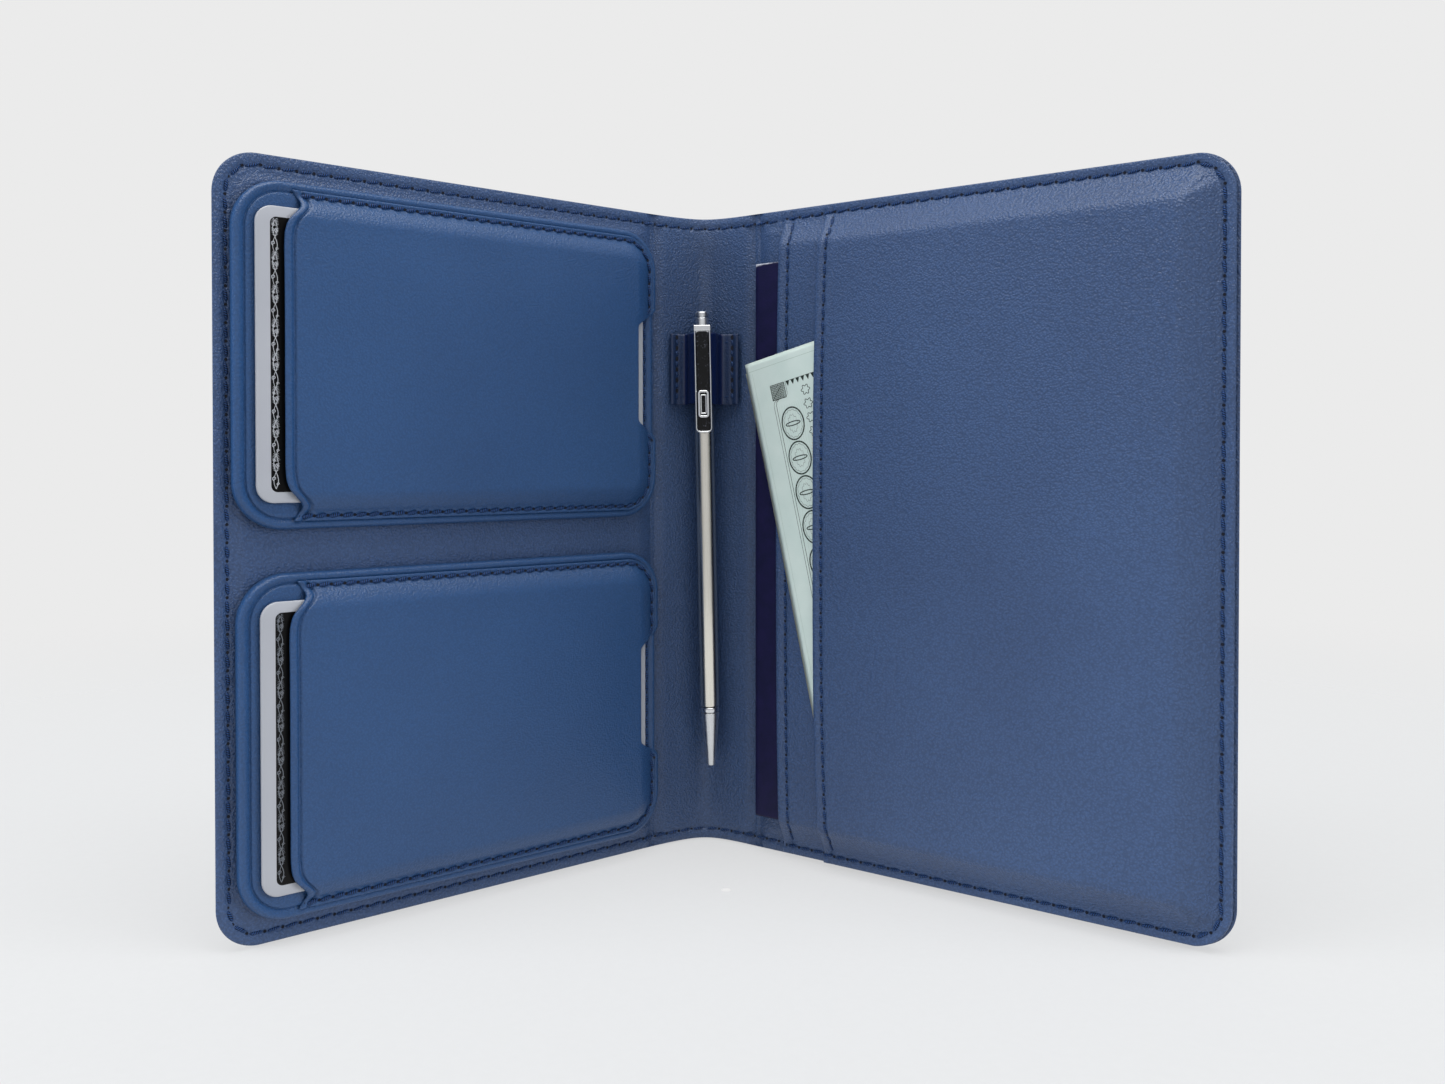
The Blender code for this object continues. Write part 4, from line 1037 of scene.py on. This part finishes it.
# %% Banknotes
NOTE_ORIGIN = np.array((4.199, 23.415, 110.5))
NOTE_X = np.array((0.78766, -0.57017, 0.23345))
NOTE_Z = np.array((-0.1891, 0.13689, 0.97237))
NOTE_OUT = np.array((-0.58637, -0.81004, 0.0))
PAPER_TOOTH = {"scale": 160.0, "bump": 0.02, "bump_scale": 2500.0}
NOTE_PAPER = plain_coat("banknote_cotton_paper", ("#bccdc8", "#c6d4cf"), 0.72, **PAPER_TOOTH)
# the note behind is drawn in a darker, yellower paper than the one in front
NOTE_BROWN = plain_coat("darker_banknote_paper", ("#a5a898", "#b4b8a9"), 0.75, **PAPER_TOOTH)
NOTE_INK = plain_coat("dark_green_note_ink", ("#1d2723", "#2b3631"), 0.65, gloss=0.2)
NOTE_TINT = plain_coat("copper_note_ink", ("#c58f5c", "#cf9f70"), 0.6)
NOTE_PALE = plain_coat("pale_note_ink", ("#9cb0a8", "#a3b7af"), 0.7)


def on_note(x, z, lift):
    """Point on a note: its left edge bows back by up to half a millimetre and flattens inwards."""
    x, z, lift = np.broadcast_arrays(x, z, lift)
    bow = 0.30 * np.cos(math.pi * x / 40) * np.exp(-x / 30) + 0.25 * np.exp(-x / 9) * np.sin(-z / 78 * math.pi * 1.3)
    return (NOTE_ORIGIN + x[..., None] * NOTE_X + z[..., None] * NOTE_Z + (lift - bow)[..., None] * NOTE_OUT) * MM


def note_sheet(name, dx, dz, lift, node_name, paper):
    """Folded note 66 x 78 mm as a closed sheet 0.2 mm thick."""
    x = np.linspace(0, 66, 70)[None, :] + dx
    z = -np.linspace(0, 78, 80)[:, None] + dz
    x, z = np.broadcast_arrays(x, z)
    sheet = closed_sheet(name, on_note(x, z, lift + 0.1), on_note(x, z, lift - 0.1), paper)
    belongs(sheet, "banknotes", "note", node_name)


note_sheet("note_behind", -0.25, -1.9, 0.02, "banknote_back", NOTE_BROWN)
note_sheet("note_in_front", 0.45, 0.0, 0.66, "banknote_front", NOTE_PAPER)


def rose(centre, radii, lobes, depth, count):
    """Closed guilloche curve: an ellipse whose radius swells and shrinks lobes times."""
    a = np.linspace(0, TURN, count)
    swell = 1 + depth * np.cos(lobes * a)
    return np.column_stack((centre[0] + radii[0] * swell * np.cos(a), centre[1] + radii[1] * swell * np.sin(a)))


ROSETTE = (((2.85, 3.6), 0, 0.0, 72, 0.34), ((2.35, 3.05), 14, 0.035, 150, 0.07), ((1.9, 0.42), 0, 0.0, 72, 0.24),
           ((1.15, 1.9), 10, 0.10, 110, 0.06))


def note_ink():
    """Dark lines of the print, in note coordinates: frame, hatched corner, teeth, rosettes and small stars."""
    lines = [(((x + 0.9, -10.0), (x + 0.25, -10.4), (x, -11.2), (x, -74.0)), width)
             for x, width in ((5.5, 0.10), (6.15, 0.12))]
    lines += [(((9.6, -6.4), (9.6, -9.2), (9.2, -9.8), (6.4, -10.0)), 0.08), (((9.8, -6.5), (62.0, -6.5)), 0.10)]
    for k in range(10):
        step = 0.37 * k
        lines += [(((5.5, -6.5 - step), (5.5 + step, -6.5)), 0.13), (((5.5 + step, -9.9), (9.2, -6.5 - step)), 0.13),
                  (((5.5, -6.5 - step), (9.2 - 0.2 * step, -6.5 - step)), 0.08)]
    square = (((5.5, -6.5), (9.2, -6.5)), ((9.2, -6.5), (9.2, -9.9)), ((5.5, -9.9), (9.2, -9.9)),
              ((5.5, -6.5), (5.5, -9.9)))
    lines += [(edge, 0.12) for edge in square]
    lines += [(((10.2 + 1.35 * k, -6.55), (10.2 + 1.35 * k, -7.6)), (0.95, 0.10)) for k in range(38)]
    lines += [(rose((9.5, -16.0 - 7.75 * row), *curve), width) for row in range(6) for *curve, width in ROSETTE]
    lines += [(rose((14.4, -9.6 - 3.1 * row), (0.95, 0.95), 6, 0.22, 60), 0.16) for row in range(4)]
    return [ribbon(points, width) for points, width in lines]


def note_ground():
    """Pale wavy ground lines and the pressed fold 2 mm below the top edge."""
    strips = [ribbon(((0.6, -2.0), (65.0, -2.0)), 0.10), ribbon(((1.5, -2.6), (1.5, -76.0)), 0.06)]
    y = np.linspace(-11.5, -74.0, 110)
    for k in range(20):
        strips.append(ribbon(np.column_stack((6.8 + 0.62 * k + 0.30 * np.sin(y * 0.55 + 0.35 * k), y)), 0.035))
    return strips


def note_tint():
    """A copper spray of short strokes along a curved stem, beside the rosettes."""
    t = np.linspace(0, 1, 30)
    stem = np.column_stack((13.6 + 1.2 * t ** 2, -36.0 + 18.0 * t))
    strips = [ribbon(stem, 0.3)]
    for k in range(3, 28):
        x, z = stem[k]
        reach = 1.9 * math.sin(math.pi * k / 29)
        for across, rise in ((reach, 0.9), (-0.8 * reach, 1.1)):
            strips.append(ribbon(((x, z), (x + across, z + rise)), (0.42, 0.05)))
    return strips


def on_front_note(points):
    """Print just proud of the front note."""
    return on_note(points[:, 0] + 0.45, points[:, 1], 0.772)


def refine(strips):
    """Cut long straight ribbons into lengths of 1.2 mm, so that they follow the bow."""
    result = []
    for strip in strips:
        where = distances(strip.mean(axis=1))
        fresh = np.unique(np.concatenate((where, np.arange(0, where[-1], 1.2))))
        result.append(np.stack([read_off(fresh, where, strip[:, edge]) for edge in (0, 1)], axis=1))
    return result


for label, strips, ink in (("note_print_ground", note_ground(), NOTE_PALE),
                           ("note_print_tint", note_tint(), NOTE_TINT),
                           ("note_print_lines", note_ink(), NOTE_INK)):
    print_ribbons(label, refine(strips), on_front_note, ink, "banknotes", "note", NOTE_OUT)

# %% [markdown]
# ## Pen loop
# A short strip is sewn to both flanks of the spine and bulges round the pen, in glossier leather there and
# in a duller one on its tabs; the bulge is also painted darker than the tabs, as painted shade and the pen's
# dark reflection. Its line seen from above is a flat tab, a rise, a quarter turn of 3 mm radius, and the
# same again mirrored.

# %% Pen loop
LOOP_LOW, LOOP_TOP, LOOP_HALF, LOOP_SKIN_MM = 101.9, 118.3, 8.3, 0.8
PEN_LEAN = math.radians(-1.155)
PEN_TIP_X, PEN_TIP_Y, PEN_TIP_Z = 1.43, 1.5, 18.6
loop_middle = PEN_TIP_X + math.tan(PEN_LEAN) * (0.5 * (LOOP_TOP + LOOP_LOW) - PEN_TIP_Z)


def loop_line():
    """Middle line of the strip: tab on the lining, a cubic rise, a quarter circle, mirrored about the pen."""
    radius = 2.15 + 0.5 + LOOP_SKIN_MM / 2
    tab = np.linspace(-LOOP_HALF, -5.6, 12)
    lift = 0.18 + LOOP_SKIN_MM / 2
    slope = (spine_depth(tab + 0.01) - spine_depth(tab - 0.01)) / 0.02
    length = np.sqrt(1 + slope ** 2)
    flat = np.column_stack((tab + lift * slope / length, spine_depth(tab) - lift / length))
    heading = np.array((1.0, slope[-1])) / length[-1]
    side = np.array((loop_middle - radius, PEN_TIP_Y))
    p0, p3 = flat[-1], side
    p1, p2 = p0 + 1.1 * heading, side + np.array((0.0, 1.5))
    t = np.linspace(0.04, 0.97, 18)[:, None]
    rise = (1 - t) ** 3 * p0 + 3 * t * (1 - t) ** 2 * p1 + 3 * t * t * (1 - t) * p2 + t ** 3 * p3
    turn = np.radians(np.linspace(180, 270, 18))
    arc = np.column_stack((loop_middle + radius * np.cos(turn), PEN_TIP_Y + radius * np.sin(turn)))
    half = np.vstack((flat, rise, arc))
    other = half[::-1][1:] * np.array((-1.0, 1.0)) + np.array((2 * loop_middle, 0.0))
    blend = np.clip((other[:, 0] - loop_middle - radius) / (LOOP_HALF - loop_middle - radius), 0, 1)
    other[:, 0] -= blend * 2 * loop_middle
    return np.vstack((half, other))


def in_spine(points, z):
    """Points given from the middle of the spine, x across and y back, to metres."""
    x, y, z = np.broadcast_arrays(spine_middle[0] + points[..., 0], spine_middle[1] + points[..., 1], z)
    return np.stack((x, y, z), axis=-1) * MM


line = loop_line()
step = distances(line)
where = np.unique(np.concatenate((spaced(step[-1], 0.3, 0.3, 3.0), [step[-1] / 2])))
line = read_off(where, step, line)
for _ in range(14):  # a running mean eases the corners between its parts
    line[1:-1] = 0.5 * line[1:-1] + 0.25 * (line[:-2] + line[2:])
heading = unit(np.gradient(line, axis=0))
outwards = np.column_stack((heading[:, 1], -heading[:, 0]))
loop_z = spaced(LOOP_TOP - LOOP_LOW, 0.25, 0.4, 3.0)
from_ends = np.minimum(where, step[-1] - where)[None, :]
from_rims = np.minimum(loop_z, LOOP_TOP - LOOP_LOW - loop_z)[:, None]
bulge = hump(where, step[-1] / 2, 4.2)[None, :]
rounding = round_over(np.minimum(from_ends, from_rims), 0.36)
lift = 0.40 * rounding - 0.24 * hump(from_ends, 1.6, 0.5)
lift = lift + 0.10 * bulge * hump(from_rims, 0, 1.0)
wave = 0.16 * bulge * np.sin(where / 2.1)[None, :]
z = LOOP_LOW + loop_z[:, None] + wave * np.sign(loop_z - 8.2)[:, None] * hump(from_rims, 0, 2.0)
front = in_spine(line[None] + lift[..., None] * outwards[None], z)
back = in_spine(line[None] - (0.40 * rounding)[..., None] * outwards[None], z)
loop = closed_sheet("pen_loop_leather", front, back, LOOP_SKIN)
loop.data.materials.append(TAB_SKIN)
# faces more than 4.5 mm from the middle get the tab leather; the middle's darker tone is painted shade
from_middle = np.abs(per_face(loop.data, "center")[:, 0] / MM - spine_middle[0] - loop_middle)
loop.data.polygons.foreach_set("material_index", (from_middle > 4.5).astype(np.int32))
belongs(loop, "spine", "skin", "pen_loop")
for word, distance in (("left", 1.6), ("right", step[-1] - 1.6)):
    base, out = (read_off([distance], where, rows)[0] for rows in (line, outwards))
    heights = np.linspace(LOOP_LOW + 0.8, LOOP_TOP - 0.8, 40)
    path = in_spine(np.repeat((base + 0.26 * out)[None], 40, axis=0), heights)
    stitches("loop_tab_" + word, path, (out[0], out[1], 0.0), "spine", "pen_loop_thread_" + word, pitch=2.3,
             length=0.5, thick=0.34, hole=0.5)
for word, z_at in (("low", LOOP_LOW + 1.9), ("high", LOOP_TOP - 1.9)):
    for hand, span in (("left", (2.0, step[-1] * 0.5 - 4.4)), ("right", (step[-1] * 0.5 + 4.4, step[-1] - 2.0))):
        reach = np.linspace(*span, 24)
        base = read_off(reach, where, line + 0.30 * outwards)
        out = outwards[len(where) // 4 if hand == "left" else -len(where) // 4]
        stitches("loop_hem_%s_%s" % (word, hand), in_spine(base, z_at), (out[0], out[1], 0.0), "spine", None,
                 pitch=2.0, length=0.7, thick=0.24)
print("loop strip: %.1f mm long" % step[-1])

# %% [markdown]
# ## Pen
# The pen is turned brass with a brushed champagne lacquer on its barrel and chromed ends, so each part is
# a profile spun round the axis. The clip is a pressed channel filled with marbled enamel, crossed by a
# small chromed buckle.

# %% Metals and enamel
def brushed(name, tones, roughness, streak):
    """Metal brushed lengthwise: noise stretched 40 times along z, read as colour, roughness and relief."""
    material, tree, shader = new_material(name)
    place = node(tree, "ShaderNodeTexCoord").outputs["Object"]
    long = node(tree, "ShaderNodeMapping", Vector=place, Scale=(1.0, 1.0, 0.025)).outputs["Vector"]
    lines = node(tree, "ShaderNodeTexNoise", Vector=long, Scale=1000.0 / streak, Detail=3.0).outputs["Fac"]
    tone = node(tree, "ShaderNodeValToRGB", {"stops": ((0.3, tones[0]), (0.7, tones[1]))}, Fac=lines)
    rough = node(tree, "ShaderNodeMapRange", Value=lines, To_Min=roughness - 0.06, To_Max=roughness + 0.08)
    bump = node(tree, "ShaderNodeBump", Height=lines, Strength=0.25, Distance=0.01 * MM)
    fill(tree, shader, {"Base Color": tone.outputs["Color"], "Normal": bump.outputs["Normal"],
                        "Roughness": rough.outputs["Result"], "Metallic": 1.0})
    return material


BARREL = brushed("brushed_champagne_lacquer", ("#dedacf", "#e8e5dc"), 0.20, 0.12)
CHROME = brushed("polished_chrome_plate", ("#d6d8db", "#e4e5e7"), 0.15, 0.5)
SATIN_CHROME = brushed("satin_chrome_plate", ("#d0d2d5", "#dee0e2"), 0.28, 0.3)
STEEL = brushed("drawn_spring_steel", ("#9a9a9c", "#b0b0b2"), 0.25, 0.2)
BRASS = brushed("turned_brass_tip", ("#b59a5e", "#c7ac70"), 0.22, 0.2)
REFILL = plain_coat("milky_refill_tube", ("#c9cbd0", "#d6d8dc"), 0.3, coat=0.2)
BOARD = plain_coat("grey_bookbinding_board", ("#8f8a80", "#a29c90"), 0.85, scale=500.0, bump=0.05, bump_scale=1500.0)


def marbled_enamel():
    """Glossy black with grey veins: twisted noise through a ramp that is black up to half its height."""
    material, tree, shader = new_material("black_marbled_enamel")
    place = node(tree, "ShaderNodeTexCoord").outputs["Object"]
    veins = node(tree, "ShaderNodeTexNoise", Vector=place, Scale=900.0, Detail=4.0, Roughness=0.7, Distortion=1.6)
    marble = node(tree, "ShaderNodeValToRGB", {"stops": ((0.50, "#060709"), (0.60, "#121318"), (0.68, "#4f525b"))},
                  Fac=veins.outputs["Fac"])
    fill(tree, shader, {"Base Color": marble.outputs["Color"], "Roughness": 0.12, "Specular IOR Level": 0.25})
    return material


ENAMEL = marbled_enamel()

# %% Turned parts of the pen
PEN_ORIGIN = np.array((spine_middle[0] + PEN_TIP_X, spine_middle[1] + PEN_TIP_Y, PEN_TIP_Z))
PEN_X = np.array((math.cos(PEN_LEAN), 0.0, -math.sin(PEN_LEAN)))
PEN_Y = np.array((0.0, 1.0, 0.0))
PEN_AXIS = np.array((math.sin(PEN_LEAN), 0.0, math.cos(PEN_LEAN)))
PEN_RADIUS = 2.15
SEGMENTS = 56


def in_pen(x, y, z):
    """Pen coordinates, z up its axis from the tip, to metres."""
    x, y, z = np.broadcast_arrays(np.asarray(x, float), y, z)
    return (PEN_ORIGIN + x[..., None] * PEN_X + y[..., None] * PEN_Y + z[..., None] * PEN_AXIS) * MM


def spun(name, profile, material, closed):
    """Profile of (radius, height) spun round the pen's axis; a closed profile leaves a bore."""
    profile = np.asarray(profile, float)
    turn = np.arange(SEGMENTS) / SEGMENTS * TURN
    rings = in_pen(profile[:, :1] * np.cos(turn), profile[:, :1] * np.sin(turn), profile[:, 1:])
    if not closed:
        return capped_rings(name, rings, material)
    rings = np.concatenate((rings, rings[:1]))
    rows = len(rings)
    quads = grid_quads(rows, SEGMENTS, wrap=True) % ((rows - 1) * SEGMENTS)
    return volume_out(link_mesh(name, rings[:-1], quads, material))


R = PEN_RADIUS
NOSE = [(0.62, 0.05), (0.66, 0.0), (0.9, 0.0), (0.98, 0.06), (1.02, 0.25), (1.05, 0.6), (1.08, 0.65), (1.52, 5.6),
        (1.88, 9.6), (2.04, 11.6), (2.08, 12.05), (2.06, 12.14), (2.0, 12.2), (1.5, 12.2), (1.48, 12.0), (1.24, 5.4),
        (1.2, 5.3), (0.8, 4.5), (0.75, 4.4), (0.75, 3.0), (0.62, 2.8)]
RING = [(1.5, 12.35), (2.02, 12.35), (2.12, 12.42), (2.16, 12.6), (2.17, 12.9), (2.16, 13.2), (2.12, 13.42),
        (2.0, 13.5), (1.5, 13.5)]
TUBE = [(1.5, 13.7), (2.04, 13.7), (2.12, 13.78), (R, 13.95), (R, 40.0), (R, 70.0), (R, 99.4), (2.12, 99.6),
        (2.05, 99.7), (1.87, 99.7), (1.85, 99.6), (1.85, 91.6), (1.84, 91.5), (1.5, 90.5), (1.49, 90.3),
        (1.49, 13.9)]
COLLAR = [(1.85, 100.0), (2.08, 100.0), (R, 100.08), (R, 100.4), (2.06, 100.48), (2.06, 100.58), (R, 100.66),
          (R, 100.95), (2.08, 101.12), (1.95, 101.2), (1.87, 101.2), (1.85, 101.1)]
BUTTON = [(1.05, 93.6), (1.1, 93.7), (1.1, 95.0), (1.48, 95.6), (1.5, 95.8), (1.5, 103.1), (1.46, 103.18),
          (1.3, 103.22), (1.26, 103.3), (1.26, 103.5), (1.32, 103.56), (1.46, 103.6), (1.5, 103.7),
          (1.5, 104.35), (1.44, 104.55), (1.28, 104.66), (1.0, 104.7), (0.5, 104.72)]
for name, profile, material, closed, body, slot, solid in (
        ("pen_cone", NOSE, SATIN_CHROME, True, "pen", "chrome", "pen_nose"),
        ("pen_band", RING, CHROME, True, "pen", "chrome", "pen_ring"),
        ("pen_tube", TUBE, BARREL, True, "pen", "barrel", "pen_barrel"),
        ("pen_cap_ring", COLLAR, CHROME, True, "pen", "chrome", "pen_collar"),
        ("pen_push_button", BUTTON, SATIN_CHROME, False, "pen_click", "chrome", "pen_button")):
    belongs(spun(name, profile, material, closed), body, slot, solid)

# %% Return spring
SPRING_LOW, SPRING_TOP, SPRING_TURNS = 5.6, 11.8, 5
t = np.linspace(0.0, SPRING_TURNS * TURN, SPRING_TURNS * 20 + 1)[:, None]
turn = np.linspace(0.0, TURN, 9)[:-1]
reach = 1.05 + 0.11 * np.cos(turn)
coil_z = SPRING_LOW + (SPRING_TOP - SPRING_LOW) * t / t[-1] + 0.11 * np.sin(turn)
coil = capped_rings("pen_spring_coil", in_pen(reach * np.cos(t), reach * np.sin(t), coil_z), STEEL)
belongs(coil, "pen", "steel", "pen_spring")
tuple(in_pen(0.0, 0.0, SPRING_LOW))
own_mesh(coil)

# %% Clip, inlay and buckle
CLIP_LOW, CLIP_TOP, CLIP_HALF = 76.8, 101.2, 1.9
CLIP_BACK = -3.75


def clip_rings(rows, low, high, half, radius):
    """Rounded outlines on the pen's front, each inset and set at a height forward of the axis."""
    rings = []
    for inset, y in rows:
        flat = rounded_outline(-half, half, low, high, radius, inset, steps=8, side=2.5)
        rings.append(in_pen(flat[:, 0], y, flat[:, 1]))
    return rings


CHANNEL = [(0.25, CLIP_BACK), (0.0, CLIP_BACK - 0.12), (0.0, -4.5), (0.05, -4.60), (0.16, -4.67), (0.32, -4.63),
           (0.40, -4.5), (0.43, -4.08), (0.50, -4.05), (1.2, -4.05)]
BRIDGE = [(0.15, -2.35), (0.0, -2.5), (0.0, -3.7), (0.1, -3.8)]
HEAD = [(0.1, -3.60), (0.0, -3.75), (0.0, -4.66), (0.05, -4.74), (0.16, -4.79), (0.4, -4.79)]
INLAY = [(0.0, -4.10), (0.0, -4.42), (0.06, -4.52), (0.22, -4.56), (0.7, -4.58), (1.2, -4.58)]
for name, rows, outline, material, slot, solids in (
        ("pen_clip_channel", CHANNEL, (CLIP_LOW, CLIP_TOP, CLIP_HALF, 1.1), CHROME, "chrome", ("pen_clip",)),
        ("pen_clip_bridge", BRIDGE, (100.0, 101.0, 1.4, 0.2), CHROME, "chrome", ()),
        ("pen_clip_head", HEAD, (99.9, 101.2, 1.95, 0.25), CHROME, "chrome", ()),
        ("pen_clip_enamel", INLAY, (77.3, 99.8, 1.44, 0.7), ENAMEL, "inlay", ("pen_clip_inlay",))):
    belongs(capped_rings(name, clip_rings(rows, *outline), material), "pen", slot, *solids)


def frame_ring(name, low, high, half, radius, width, y_back, y_front):
    """Open frame: a rounded outline carried round a small rounded section, closed on itself."""
    section = [(0.0, y_back), (0.0, y_front + 0.12), (0.05, y_front + 0.03), (0.14, y_front), (width - 0.14, y_front),
               (width - 0.05, y_front + 0.03), (width, y_front + 0.12), (width, y_back)]
    rings = np.array(clip_rings(section, low, high, half, radius))
    rows, around = rings.shape[:2]
    quads = grid_quads(rows + 1, around, wrap=True) % (rows * around)
    return volume_out(link_mesh(name, rings, quads, CHROME))


belongs(frame_ring("pen_buckle", 80.2, 86.4, 1.25, 0.75, 0.5, -4.5, -5.25), "pen", "chrome", "pen_clip_buckle")
belongs(frame_ring("pen_buckle_eye", 81.0, 85.5, 0.72, 0.35, 0.34, -4.5, -5.08), "pen", "chrome")

# %% [markdown]
# ## What stays as it was made
# The boards inside the covers, the refill and its tip already have their true shapes, so they only get
# their materials.

# %% Materials of the kept solids
for name, material in (("left_cover_board", BOARD), ("right_cover_board", BOARD), ("pen_refill", REFILL),
                       ("pen_tip", BRASS)):
    kept = frame["nodes"][name]
    for slot in kept.material_slots:
        slot.material = material
    print("kept", name)

# %% [markdown]
# ## Floor and light
# A pale floor fades into a pale room, so that no horizon shows. A wide soft box hangs over the front, as
# in a small product studio, and two smaller ones light the sides without being mirrored in the leather.
# The room fills the shadows: for everything but the camera it is brighter above and in front.

# %% Studio
def studio_paper():
    """Matt paper with a glow of its own, clear from 0.55 m out, where the room takes over."""
    material, tree, shader = new_material("pale_studio_paper")
    place = node(tree, "ShaderNodeTexCoord").outputs["Object"]
    tooth = node(tree, "ShaderNodeTexNoise", Vector=place, Scale=700.0, Detail=2.0)
    away = node(tree, "ShaderNodeVectorMath", {"operation": "LENGTH"}, {0: place}).outputs["Value"]
    fade = node(tree, "ShaderNodeMapRange", {"interpolation_type": "SMOOTHSTEP"}, Value=away, From_Min=0.16,
                From_Max=0.55)
    clear = node(tree, "ShaderNodeBsdfTransparent")
    mix = node(tree, "ShaderNodeMixShader", None,
               {0: fade.outputs["Result"], 1: shader.outputs["BSDF"], 2: clear.outputs["BSDF"]})
    fill(tree, tree.nodes["Material Output"], {"Surface": mix.outputs["Shader"]})
    tone = node(tree, "ShaderNodeValToRGB", {"stops": ((0.3, "#747678"), (0.7, "#76787a"))}, Fac=tooth.outputs["Fac"])
    fill(tree, shader, {"Base Color": tone.outputs["Color"], "Roughness": 0.9, "Specular IOR Level": 0.1,
                        "Emission Color": linear("#ebebeb"), "Emission Strength": 0.67})
    return material


radius = np.concatenate(([0.001], np.linspace(0.05, 1.2, 24)))
turn = np.arange(64) / 64 * TURN
disc = np.stack((radius[:, None] * np.cos(turn), radius[:, None] * np.sin(turn), np.full((25, 64), -0.0004)), axis=-1)
floor = link_mesh("studio_floor", disc, grid_quads(25, 64, wrap=True), studio_paper())
if per_face(floor.data, "normal")[:, 2].sum() < 0:
    floor.data.flip_normals()

world = bpy.data.worlds.new("room")
bpy.context.scene.world = world
world.use_nodes = True
room_tree = world.node_tree
room = room_tree.nodes["Background"]
room.inputs["Color"].default_value = linear("#ebebeb")
way = node(room_tree, "ShaderNodeTexCoord").outputs["Generated"]
split = node(room_tree, "ShaderNodeSeparateXYZ", None, {0: way})
above = node(room_tree, "ShaderNodeMapRange", Value=split.outputs["Z"], From_Min=0.1, From_Max=0.9, To_Min=0.24,
             To_Max=0.50)
ahead = node(room_tree, "ShaderNodeMapRange", {"interpolation_type": "SMOOTHSTEP"}, Value=split.outputs["Y"],
             From_Min=-0.45, From_Max=-1.0, To_Min=0.0, To_Max=0.40)
level = node(room_tree, "ShaderNodeMath", {"operation": "ADD"},
             {0: above.outputs["Result"], 1: ahead.outputs["Result"]})
room_fill = node(room_tree, "ShaderNodeBackground", Strength=level.outputs["Value"], Color=linear("#fbfcff"))
rays = node(room_tree, "ShaderNodeLightPath")
mix = node(room_tree, "ShaderNodeMixShader", None,
           {0: rays.outputs["Is Camera Ray"], 1: room_fill.outputs["Background"], 2: room.outputs["Background"]})
fill(room_tree, room_tree.nodes["World Output"], {"Surface": mix.outputs["Shader"]})


def soft_box(name, place, target, size, power, colour, mirrored=True):
    """Square area light at a place, turned to face its target; not mirrored means that glossy rays miss it."""
    data = bpy.data.lights.new(name, "AREA")
    data.shape = "RECTANGLE"
    data.size, data.size_y = size
    data.energy = power
    data.color = colour
    lamp = bpy.data.objects.new(name, data)
    lamp.location = place
    lamp.visible_glossy = mirrored
    lamp.rotation_euler = (Vector(target) - Vector(place)).to_track_quat("-Z", "Y").to_euler()
    bpy.context.scene.collection.objects.link(lamp)


soft_box("top_soft_box", (0.0, -0.36, 1.25), (0.0, 0.0, 0.08), (1.4, 0.8), 16.0, (1.0, 1.0, 0.98))
soft_box("right_soft_box", (0.90, -0.30, 0.30), (-0.05, 0.0, 0.08), (0.6, 0.6), 6.0, (0.97, 0.98, 1.0), False)
soft_box("left_soft_box", (-0.90, -0.30, 0.30), (0.05, 0.0, 0.08), (0.6, 0.6), 8.0, (0.97, 0.98, 1.0), False)
bpy.context.scene.view_settings.view_transform = "Standard"
